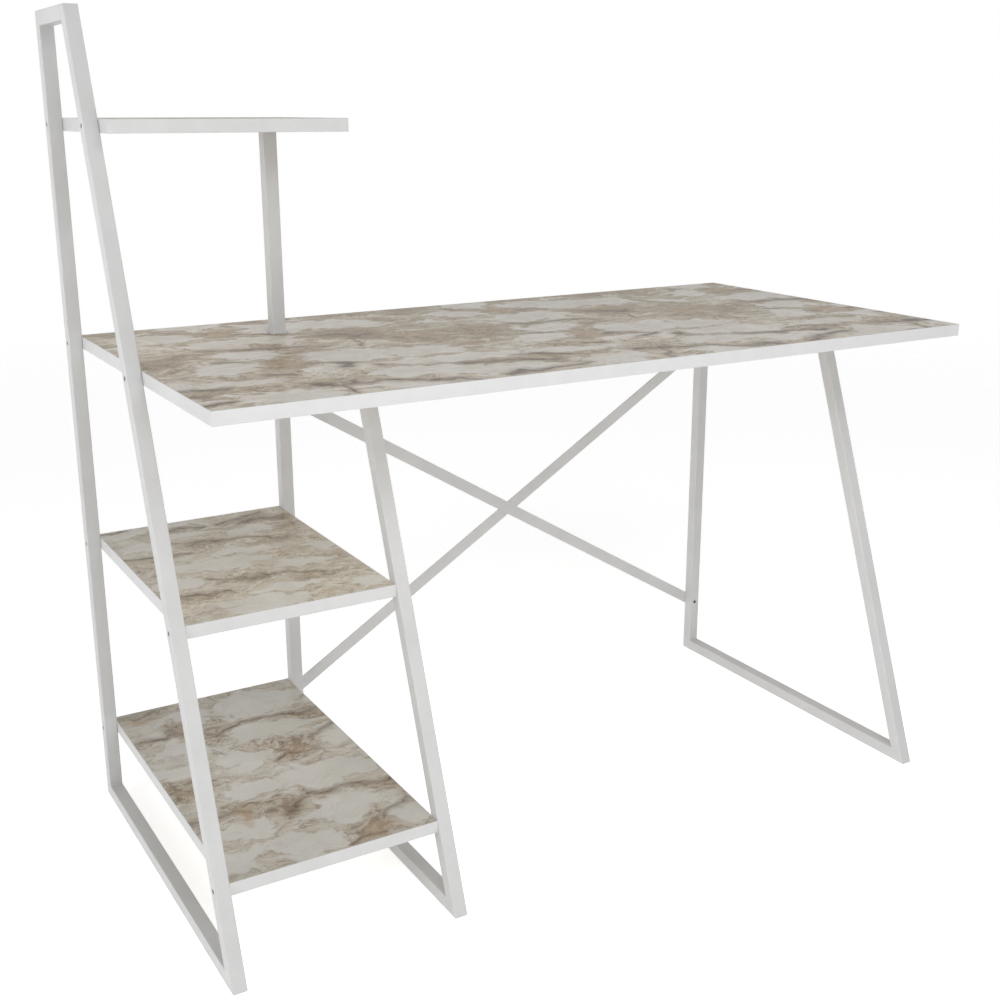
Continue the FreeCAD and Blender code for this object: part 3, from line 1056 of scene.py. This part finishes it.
def runs_along(edge: bmesh.types.BMEdge, way: Vector) -> bool:
    """Says whether an edge runs along a direction."""
    return abs((edge.verts[1].co - edge.verts[0].co).normalized().dot(way)) > ALIKE


@dataclass
class Board:
    """A board of faced chipboard with a white band glued round its edges.

    Attributes:
        name: The board's name, as in its CAD nodes.
        decor: The marble decor on it.
        face_edge: The rounding of the faced board's edges.
        band_radius: The rounding of the band's outer edges.
        joint_edge: The rounding of its ends, where strips meet.
    """

    name: str
    decor: MarbleDecor
    face_edge: float = 0.2 * MM
    band_radius: float = 0.6 * MM
    joint_edge: float = 0.08 * MM

    def build_slab(self) -> bmesh.types.BMesh:
        """Builds the faced board inside its band.

        Returns:
            The faced board.
        """
        bm = bmesh.new()
        block(bm, *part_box(f"{self.name}_panel"))
        soften(bm, bm.edges[:], self.face_edge, 2)
        return bm

    def build_band(self) -> bmesh.types.BMesh:
        """Builds the band: long strips at the front and back, with short ones between them.

        Returns:
            The band.
        """
        low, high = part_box(f"{self.name}_edge_band")
        inner_low, inner_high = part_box(f"{self.name}_panel")
        strips = (
            (low, Vector((high.x, inner_low.y, high.z))),
            (Vector((low.x, inner_high.y, low.z)), high),
            (Vector((low.x, inner_low.y, low.z)), Vector((inner_low.x, inner_high.y, high.z))),
            (Vector((inner_high.x, inner_low.y, low.z)), Vector((high.x, inner_high.y, high.z))),
        )
        bm = bmesh.new()
        for start, end in strips:
            corners = block(bm, start, end)
            along = RIGHT if end.x - start.x > end.y - start.y else BACK
            across = Vector((along.y, along.x, 0))
            outward = across * (1 if (start + end - low - high).dot(across) > 0 else -1)
            reach = max(corner.co.dot(outward) for corner in corners) - self.joint_edge
            outer = [
                edge
                for edge in edges_of(corners)
                if runs_along(edge, along) and all(v.co.dot(outward) > reach for v in edge.verts)
            ]
            soften(bm, outer, self.band_radius)
        soften(bm, [edge for edge in bm.edges if runs_along(edge, UP)], self.joint_edge, 1)
        return bm

    def build(self, finishes: Finishes) -> None:
        """Builds and dresses the board.

        Args:
            finishes: The shared finishes.
        """
        low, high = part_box(f"{self.name}_edge_band")
        marble = self.decor.material(f"{self.name}_marble", (low.x, high.y))
        slab, band = f"{self.name}_faced_board", f"{self.name}_banding"
        panel_node, band_node = f"{self.name}_panel", f"{self.name}_edge_band"
        finish_piece(slab, self.build_slab(), Slot.DECOR, marble, [panel_node])
        finish_piece(band, self.build_band(), Slot.BAND, finishes.band, [band_node])


@dataclass(frozen=True)
class Hole:
    """A round hole through one wall of a tube.

    Attributes:
        side: The wall that it goes through.
        centre: A point on its axis.
        radius: Its radius.
    """

    side: Side
    centre: Vector
    radius: float


@dataclass(frozen=True)
class Cut:
    """The plane that ends a tube.

    Attributes:
        point: A point on it.
        outward: The way that points out of the tube.
    """

    point: Vector
    outward: Vector


@dataclass(frozen=True)
class SquareTube:
    """Square steel tube with rounded edges, cut to a plane at each end.

    Attributes:
        side: Its width.
        wall: Its wall.
        radius: The radius of its edges outside.
        bore_radius: The same inside.
        arc_steps: The flats of a rounded edge.
        hole_steps: The corners of a hole.
        hole_edge: The rounding of a hole's outer edge.
        hole_margin: What a hole's surroundings reach past it.
        spare: How far the tube runs past its ends before it is cut.
    """

    side: float = 20 * MM
    wall: float = 1.2 * MM
    radius: float = 1.5 * MM
    bore_radius: float = 0.4 * MM
    arc_steps: int = 5
    hole_steps: int = 24
    hole_edge: float = 0.25 * MM
    hole_margin: float = 1.5 * MM
    spare: float = 40 * MM

    def sleeve(
        self,
        bm: bmesh.types.BMesh,
        width: float,
        radius: float,
        matrix: Matrix,
        length: float,
    ) -> list[bmesh.types.BMFace]:
        """Adds one skin of the tube.

        Args:
            bm: Where it goes.
            width: The skin's width.
            radius: The radius of its edges.
            matrix: Its place, with its start at the origin and its run along Z.
            length: Its length.

        Returns:
            Its faces, which point outwards.
        """
        turn = Matrix.Rotation(math.pi / 4, 4, "Z")
        half_diagonal = width / math.sqrt(2)
        ring = bmesh.ops.create_circle(
            bm, cap_ends=True, radius=half_diagonal, segments=4, matrix=turn
        )
        bevelled = bmesh.ops.bevel(
            bm,
            geom=ring["verts"],
            offset=radius,
            offset_type="OFFSET",
            segments=self.arc_steps,
            profile=0.5,
            affect="VERTICES",
            material=-1,
        )
        cap = next(face for vert in bevelled["verts"] for face in vert.link_faces)
        grown = bmesh.ops.extrude_face_region(bm, geom=[cap])["geom"]
        far = [item for item in grown if isinstance(item, bmesh.types.BMVert)]
        bmesh.ops.translate(bm, verts=far, vec=(0, 0, length))
        end = [item for item in grown if isinstance(item, bmesh.types.BMFace)]
        bmesh.ops.delete(bm, geom=end, context="FACES_ONLY")
        walls = list(dict.fromkeys(face for vert in far for face in vert.link_faces))
        verts = list(dict.fromkeys(vert for face in walls for vert in face.verts))
        wall = max(walls, key=lambda face: face.calc_area())
        wall.normal_update()
        if wall.normal.dot(wall.calc_center_median() * Vector((1, 1, 0))) < 0:
            bmesh.ops.reverse_faces(bm, faces=walls)
        bmesh.ops.transform(bm, matrix=matrix, verts=verts)
        return walls

    def drill(self, bm: bmesh.types.BMesh, hole: Hole, axis: Vector) -> None:
        """Cuts a hole through one wall and rounds its outer edge.

        Args:
            bm: The tube.
            hole: The hole.
            axis: The tube's direction.
        """
        reach = axis * (hole.radius + self.hole_margin)
        for point in (hole.centre - reach, hole.centre + reach):
            cut_plane(bm, point, axis)
        outward = hole.side.outward
        outward = (outward - axis * outward.dot(axis)).normalized()
        turn = outward.to_track_quat("Z", "Y").to_matrix().to_4x4()
        rings = []
        for facing, depth in ((1, self.side / 2), (-1, self.side / 2 - self.wall)):
            centre = hole.centre + outward * depth
            bm.normal_update()
            walls = [face for face in bm.faces if face.normal.dot(outward) * facing > SAME]
            wall = min(walls, key=lambda face: (face.calc_center_median() - centre).length)
            border = list(wall.edges)
            bmesh.ops.delete(bm, geom=[wall], context="FACES_ONLY")
            circle = {"radius": hole.radius, "segments": self.hole_steps}
            circle["matrix"] = Matrix.Translation(centre) @ turn
            ring = edges_of(bmesh.ops.create_circle(bm, cap_ends=False, **circle)["verts"])
            normal = outward * facing
            bmesh.ops.triangle_fill(bm, use_beauty=True, edges=border + ring, normal=normal)
            rings.append(ring)
        bmesh.ops.bridge_loops(bm, edges=rings[0] + rings[1])
        bmesh.ops.recalc_face_normals(bm, faces=bm.faces[:])
        soften(bm, rings[0], self.hole_edge, 2)

    def build(
        self,
        start: Vector,
        end: Vector,
        cuts: Sequence[Cut],
        holes: Sequence[Hole] = (),
    ) -> bmesh.types.BMesh:
        """Builds a tube.

        Args:
            start: One end of its centre line.
            end: The other end.
            cuts: The planes that end it.
            holes: The holes through its walls.

        Returns:
            The tube.
        """
        axis = (end - start).normalized()
        turn = Matrix((RIGHT, axis.cross(RIGHT), axis)).transposed().to_4x4()
        matrix = Matrix.Translation(start - axis * self.spare) @ turn
        length = (end - start).length + 2 * self.spare
        bm = bmesh.new()
        self.sleeve(bm, self.side, self.radius, matrix, length)
        bore = self.sleeve(bm, self.side - 2 * self.wall, self.bore_radius, matrix, length)
        bmesh.ops.reverse_faces(bm, faces=bore)
        for cut in cuts:
            cut_plane(bm, cut.point, cut.outward, clear=True)
        for cut in cuts:
            flush = {v for v in bm.verts if abs((v.co - cut.point).dot(cut.outward)) < ON_CUT}
            rim = [edge for edge in bm.edges if edge.is_boundary and flush.issuperset(edge.verts)]
            bmesh.ops.bridge_loops(bm, edges=rim)
        bmesh.ops.recalc_face_normals(bm, faces=bm.faces[:])
        for hole in holes:
            self.drill(bm, hole, axis)
        return bm


@dataclass
class TubeFrame:
    """A welded frame of four mitred tubes: an upright rear leg, a leaning front leg and two rails.

    Attributes:
        name: The frame's name, as in its CAD nodes.
        leg_side: The side on which its legs are drilled for the shelves' screws.
        leg_heights: The heights of those screws.
        rail_drilled: Whether the top rail is drilled for the worktop's screws.
        braced: Whether the rear leg is drilled for the brace.
        tube: The tube that it is made of.
        access_radius: The radius of the holes for the screws and their key.
        brace_radius: The radius of the holes in line with the brace's rivet nuts.
        brace_heights: The heights of those holes.
        rail_inset: How far the top rail's holes lie from its outer corners.
        weld_leg: The weld beads' reach along each tube.
        weld_root: Their reach into the corner.
    """

    name: str
    leg_side: Side
    leg_heights: tuple[float, ...] = ()
    rail_drilled: bool = False
    braced: bool = False
    tube: SquareTube = SquareTube()
    access_radius: float = 3.25 * MM
    brace_radius: float = 3.0 * MM
    brace_heights: tuple[float, ...] = (0.102, 0.628)
    rail_inset: float = 0.060
    weld_leg: float = 2.0 * MM
    weld_root: float = 0.3 * MM

    def node(self, member: Member) -> str:
        """Gives the name of a tube's CAD node."""
        return f"{self.name}_{member.name.lower()}"

    def corners(self) -> tuple[dict[Corner, Vector], dict[Corner, Vector]]:
        """Works out the corners of the frame's outline and of its opening.

        Returns:
            The outer and the inner corners.
        """
        rear_low, rear_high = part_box(self.node(Member.REAR_LEG))
        foot_low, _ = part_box(self.node(Member.BASE_RAIL))
        top_low, top_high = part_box(self.node(Member.TOP_RAIL))
        x = (rear_low.x + rear_high.x) / 2
        side = self.tube.side
        run = Vector((0, top_low.y - foot_low.y, top_high.z - foot_low.z))
        slope, stretch = run.y / run.z, run.length / run.z
        toe, back, top = foot_low.y, rear_high.y, top_high.z
        outer = {
            Corner.FRONT_FOOT: (toe, 0.0),
            Corner.REAR_FOOT: (back, 0.0),
            Corner.REAR_TOP: (back, top),
            Corner.FRONT_TOP: (toe + top * slope, top),
        }
        inner = {
            Corner.FRONT_FOOT: (toe + side * slope + side * stretch, side),
            Corner.REAR_FOOT: (back - side, side),
            Corner.REAR_TOP: (back - side, top - side),
            Corner.FRONT_TOP: (toe + (top - side) * slope + side * stretch, top - side),
        }
        return tuple(
            {key: Vector((x, *value)) for key, value in each.items()} for each in (outer, inner)
        )

    def centre_line(self, member: Member) -> tuple[Vector, Vector]:
        """Gives the ends of a tube's centre line.

        Args:
            member: The tube.

        Returns:
            Its ends, each in the middle of a mitre.
        """
        outer, inner = self.corners()
        start, end = ((outer[corner] + inner[corner]) / 2 for corner in member.value)
        return start, end

    def leg_point(self, leg: Member, height: float) -> Vector:
        """Gives the point on a leg's centre line at a height.

        Args:
            leg: The leg.
            height: The height.

        Returns:
            The point.
        """
        low, high = self.centre_line(leg)
        return low.lerp(high, (height - low.z) / (high.z - low.z))

    def holes(self, member: Member) -> list[Hole]:
        """Lists the holes of one tube.

        Args:
            member: The tube.

        Returns:
            Its holes.
        """
        found = []
        if member in (Member.REAR_LEG, Member.FRONT_LEG):
            points = [self.leg_point(member, height) for height in self.leg_heights]
            found += [Hole(self.leg_side, point, self.access_radius) for point in points]
        if member is Member.REAR_LEG and self.braced:
            points = [self.leg_point(member, height) for height in self.brace_heights]
            found += [Hole(Side.FRONT, point, self.brace_radius) for point in points]
        if member is Member.TOP_RAIL and self.rail_drilled:
            outer, inner = self.corners()
            front, rear = outer[Corner.FRONT_TOP], outer[Corner.REAR_TOP]
            height = (rear.z + inner[Corner.REAR_TOP].z) / 2
            for y in (front.y + self.rail_inset, rear.y - self.rail_inset):
                found.append(Hole(Side.UNDER, Vector((rear.x, y, height)), self.access_radius))
        return found

    def build_tube(self, member: Member) -> bmesh.types.BMesh:
        """Builds one tube between two corners.

        Args:
            member: The tube.

        Returns:
            Its shape.
        """
        outer, inner = self.corners()
        start, end = self.centre_line(member)
        cuts = []
        for corner, away in zip(member.value, (start - end, end - start)):
            normal = (outer[corner] - inner[corner]).cross(RIGHT).normalized()
            cuts.append(Cut(outer[corner], normal if normal.dot(away) > 0 else -normal))
        return self.tube.build(start, end, cuts, self.holes(member))

    def build_welds(self) -> bmesh.types.BMesh:
        """Builds the small fillet welds in the four inner corners.

        Returns:
            The welds.
        """
        _, inner = self.corners()
        middles = [inner[corner] for corner in Corner]
        flat = RIGHT * (self.tube.side - 2 * self.tube.radius)
        bm = bmesh.new()
        for index, middle in enumerate(middles):
            corner = middle - flat / 2
            others = (middles[index - 1], middles[(index + 1) % len(middles)])
            ways = [(other - middle).normalized() for other in others]
            root = corner - (ways[0] + ways[1]).normalized() * self.weld_root
            toes = [corner + way * self.weld_leg for way in ways]
            raise_face(bm, [root, *toes], flat)
        bmesh.ops.recalc_face_normals(bm, faces=bm.faces[:])
        return bm

    def build(self, finishes: Finishes) -> None:
        """Builds and dresses the frame.

        Args:
            finishes: The shared finishes.
        """
        for member in Member:
            node, tube = self.node(member), self.build_tube(member)
            finish_piece(f"{node}_tube", tube, Slot.COAT, finishes.coat, [node])
        finish_piece(f"{self.name}_welds", self.build_welds(), Slot.COAT, finishes.coat)


@dataclass
class Brace:
    """The cross brace: a flat bar that falls to the right, and two halves that rise beside it.

    Attributes:
        width: The width of the flat bar.
        edge: The rounding of its edges.
        rounds: How often the bars' rise is worked out again.
    """

    width: float = 20 * MM
    edge: float = 0.4 * MM
    rounds: int = 30

    def build_bar(self, outline: Sequence[Pair], front: float, back: float) -> bmesh.types.BMesh:
        """Builds a flat bar from its outline.

        Args:
            outline: The outline's corners, in X and Z.
            front: The bar's front face.
            back: The bar's rear face.

        Returns:
            The bar.
        """
        bm = bmesh.new()
        raise_face(bm, [Vector((x, front, z)) for x, z in outline], Vector((0, back - front, 0)))
        bmesh.ops.recalc_face_normals(bm, faces=bm.faces[:])
        soften(bm, bm.edges[:], self.edge)
        return bm

    def outlines(self) -> dict[str, list[Pair]]:
        """Works out the outlines of the three bars from the falling bar's box.

        Returns:
            Each bar's corners in X and Z, by the name of its node.
        """
        low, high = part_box("brace_falling_bar")
        run, height = high.x - low.x, high.z - low.z
        # The box's height is the rise plus the bar's upright height, which grows with the slope.
        rise = height - self.width
        for _ in range(self.rounds):
            rise = height - self.width * math.hypot(1, rise / run)
        half = (height - rise) / 2
        notch = half / (rise / run)
        bottom, top = low.z + half, high.z - half
        x, z = (low.x + high.x) / 2, (low.z + high.z) / 2
        return {
            "brace_falling_bar": [
                (low.x, top - half),
                (high.x, bottom - half),
                (high.x, bottom + half),
                (low.x, top + half),
            ],
            "brace_rising_lower_bar": [
                (low.x, bottom - half),
                (x, z - half),
                (x - notch, z),
                (low.x, bottom + half),
            ],
            "brace_rising_upper_bar": [
                (x, z + half),
                (x + notch, z),
                (high.x, top - half),
                (high.x, top + half),
            ],
        }

    def build(self, finishes: Finishes) -> None:
        """Builds and dresses the brace.

        Args:
            finishes: The shared finishes.
        """
        low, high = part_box("brace_falling_bar")
        for node, outline in self.outlines().items():
            bar = self.build_bar(outline, low.y, high.y)
            finish_piece(f"{node}_flat", bar, Slot.COAT, finishes.coat, [node])


@dataclass
class ShelfPost:
    """The post that holds up the top shelf, on its foot plate.

    Attributes:
        tube: The tube that it is made of.
        plate_corner: The rounding of the plate's corners.
        plate_edge: The rounding of its rims.
    """

    tube: SquareTube = SquareTube()
    plate_corner: float = 1.5 * MM
    plate_edge: float = 0.4 * MM

    def build_tube(self) -> bmesh.types.BMesh:
        """Builds the upright tube.

        Returns:
            The tube.
        """
        low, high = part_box("shelf_post_tube")
        middle = (low + high) / 2
        start, end = Vector((middle.x, middle.y, low.z)), Vector((middle.x, middle.y, high.z))
        cuts = [Cut(start, -UP), Cut(end, UP)]
        return self.tube.build(start, end, cuts)

    def build_plate(self) -> bmesh.types.BMesh:
        """Builds the foot plate.

        Returns:
            The plate.
        """
        bm = bmesh.new()
        block(bm, *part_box("shelf_post_foot_plate"))
        upright = [edge for edge in bm.edges if runs_along(edge, UP)]
        soften(bm, upright, self.plate_corner, 4)
        bm.normal_update()
        flats = [face for face in bm.faces if abs(face.normal.z) > ALIKE]
        soften(bm, {edge for face in flats for edge in face.edges}, self.plate_edge, 2)
        return bm

    def build(self, finishes: Finishes) -> None:
        """Builds and dresses the post.

        Args:
            finishes: The shared finishes.
        """
        for name, bm, node in (
            ("shelf_post_upright", self.build_tube(), "shelf_post_tube"),
            ("shelf_post_base", self.build_plate(), "shelf_post_foot_plate"),
        ):
            finish_piece(name, bm, Slot.COAT, finishes.coat, [node])


class Fasteners:
    """The screws, bolts and nuts, which keep their CAD shapes."""

    def build(self, finishes: Finishes) -> None:
        """Dresses each of them in zinc.

        Args:
            finishes: The shared finishes.
        """
        for part in frame["record"]["subparts"]:
            if part["material_slot"] == Slot.FASTENER.value:
                node = frame["nodes"][part["node"]]
                for index in range(len(node.data.materials)):
                    node.data.materials[index] = finishes.zinc
                LOG.info("%s: CAD shape, zinc plate", part["node"])


# Studio


@dataclass(frozen=True)
class SoftBox:
    """A large soft light.

    Attributes:
        name: Its name.
        centre: Where it stands.
        target: What it faces.
        size: Its width and height.
        power: Its power in watts.
    """

    name: str
    centre: Triple
    target: Triple
    size: Pair
    power: float

    def build(self) -> None:
        """Makes the light."""
        data = bpy.data.lights.new(self.name, "AREA")
        data.shape = "RECTANGLE"
        data.size, data.size_y = self.size
        data.energy = self.power
        light = bpy.data.objects.new(self.name, data)
        light.location = self.centre
        aim = Vector(self.target) - Vector(self.centre)
        light.rotation_euler = aim.to_track_quat("-Z", "Y").to_euler()
        bpy.context.scene.collection.objects.link(light)


@dataclass(frozen=True)
class PhotoCamera:
    """The camera, at the photograph's viewpoint.

    Attributes:
        location: Where it stands.
        tilt: Its turn up from straight down.
        heading: Its turn to the left about the upright.
        lens: Its focal length in millimetres.
        sensor: The width of its sensor in millimetres.
        shift: How far its picture is shifted, in widths of the picture.
    """

    location: Triple = (-1.03496, -1.69580, 1.06866)
    tilt: float = math.radians(90 - 15.92)
    heading: float = math.radians(-31.02)
    lens: float = 47.42
    sensor: float = 36.0
    shift: Pair = (-0.01496, -0.01437)

    def build(self) -> None:
        """Makes the camera and hands it to the scene."""
        data = bpy.data.cameras.new("photo_camera")
        data.sensor_width, data.lens = self.sensor, self.lens
        data.shift_x, data.shift_y = self.shift
        camera = bpy.data.objects.new("photo_camera", data)
        camera.location = self.location
        camera.rotation_euler = (self.tilt, 0.0, self.heading)
        bpy.context.scene.collection.objects.link(camera)
        bpy.context.scene.camera = camera


@dataclass
class Studio:
    """A plain studio: a pale floor, a white surround and soft lights.

    Attributes:
        floor_radius: The floor's radius.
        floor_steps: Its corners.
        floor_fade: The distances between which it fades into the surround.
        floor_colour: Its colour.
        floor_roughness: Its roughness.
        floor_gloss: The strength of its reflections.
        floor_glow: The light that it gives off.
        floor_seen: Its own light where the camera sees it, which keeps it pale.
        ahead: The surround's light from +X, +Y and +Z.
        behind: The surround's light from -X, -Y and -Z.
        seen_strength: The surround's strength where the camera sees it.
        boxes: The soft lights.
    """

    floor_radius: float = 6.0
    floor_steps: int = 96
    floor_fade: Pair = (1.6, 5.5)
    floor_colour: Colour = (0.88, 0.88, 0.88, 1)
    floor_roughness: float = 0.9
    floor_gloss: float = 0.1
    floor_glow: float = 0.26
    floor_seen: float = 0.58
    ahead: Triple = (1.1, 1.05, 0.0)
    behind: Triple = (1.02, 0.0, 0.9)
    seen_strength: float = 1.0
    boxes: tuple[SoftBox, ...] = (
        SoftBox("front_high_softbox", (-0.5, -2.0, 2.2), (0.0, 0.0, 0.5), (1.5, 1.0), 20.4),
        SoftBox("front_softbox", (0.0, -2.2, 0.8), (0.0, 0.0, 0.5), (1.5, 1.2), 14.1),
        SoftBox("left_softbox", (-2.4, -0.2, 0.8), (0.0, 0.0, 0.6), (1.5, 1.5), 12.5),
    )

    def build_world(self) -> None:
        """Makes the surround, which looks white but lights each side by its own strength."""
        world = bpy.data.worlds.new("studio_surround")
        shader = Shader(world)
        way = shader.node("ShaderNodeTexCoord", output="Generated")
        strength = None
        for sign, weights in (("MAXIMUM", self.ahead), ("MINIMUM", self.behind)):
            half = shader.vector(sign, way, (0.0, 0.0, 0.0))
            share = shader.vector("DOT_PRODUCT", shader.vector("MULTIPLY", half, half), weights)
            strength = share if strength is None else strength + share
        seen = shader.node("ShaderNodeLightPath", output="Is Camera Ray")
        strength = strength + seen * (self.seen_strength - strength)
        lit = shader.node("ShaderNodeBackground", {}, {"Color": (1, 1, 1, 1), "Strength": strength})
        shader.node("ShaderNodeOutputWorld", {}, {"Surface": lit})
        bpy.context.scene.world = world

    def build_floor(self) -> None:
        """Makes the round floor, which fades into the surround."""
        bm = bmesh.new()
        bmesh.ops.create_circle(
            bm, cap_ends=True, radius=self.floor_radius, segments=self.floor_steps
        )
        mesh = bpy.data.meshes.new("studio_floor")
        bm.to_mesh(mesh)
        bm.free()
        shader = Shader.of_material("pale_floor")
        away = shader.vector("LENGTH", shader.place())
        sockets = {"Base Color": self.floor_colour, "Roughness": self.floor_roughness}
        sockets["Specular IOR Level"] = self.floor_gloss
        sockets["Alpha"] = away.fade(*self.floor_fade)
        seen = shader.node("ShaderNodeLightPath", output="Is Camera Ray")
        glows = [(glow, glow, glow, 1) for glow in (self.floor_glow, self.floor_seen)]
        sockets["Emission Color"] = shader.mix(seen, *glows)
        sockets["Emission Strength"] = 1.0
        mesh.materials.append(shader.surface(sockets))
        floor = bpy.data.objects.new("studio_floor", mesh)
        bpy.context.scene.collection.objects.link(floor)

    def build(self) -> None:
        """Makes the floor, the surround and the lights, and plain colours on screen."""
        bpy.context.scene.view_settings.view_transform = "Standard"
        self.build_world()
        self.build_floor()
        for box in self.boxes:
            box.build()


def write_sizes() -> None:
    """Updates the view layer, so that the pieces' places are current."""
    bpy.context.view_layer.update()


def main() -> None:
    """Builds the camera, the studio and the desk, in that order."""
    logging.basicConfig(level=logging.INFO, format="%(message)s")
    PhotoCamera().build()
    Studio().build()
    finishes = Finishes()
    # The heights of the screws into the bottom and middle shelves, the worktop and the top shelf.
    screws = (0.119, 0.429, 0.739, 1.049)
    worktop_decor = MarbleDecor(
        strip=FRONT_STRIP,
        joint=(405.0, 425.0),
        richness=0.55,
        strip_richness=0.15,
        painted_shade_tint=(1.015, 1.01, 1.015),
        warmth=(1.0, 0.99, 0.93),
    )
    # The middle shelf's tint is painted shade: it darkens the board where the worktop above shades
    # it.
    middle_decor = MarbleDecor(
        main=SMALL_PRINT,
        scale=0.66,
        strip=REAR_STRIP,
        joint=(130.0, 110.0),
        painted_shade_tint=(0.931, 0.945, 0.955),
        warmth=(1.0, 1.0, 0.97),
    )
    parts = [
        Board("worktop", worktop_decor),
        Board("top_shelf", MarbleDecor(shift=(250.0, 60.0), richness=0.4)),
        Board("middle_shelf", middle_decor),
        # The bottom shelf's tint is painted shade: it darkens the board where the shelves above
        # shade it.
        Board("bottom_shelf", MarbleDecor(main=LOW_PRINT, painted_shade_tint=(0.818, 0.832, 0.847))),
        TubeFrame("left_frame", Side.LEFT, screws),
        TubeFrame("inner_frame", Side.RIGHT, screws[:2], rail_drilled=True, braced=True),
        TubeFrame("right_frame", Side.RIGHT, rail_drilled=True, braced=True),
        Brace(),
        ShelfPost(),
        Fasteners(),
    ]
    for part in parts:
        part.build(finishes)
    write_sizes()


if __name__ == "__main__":
    main()
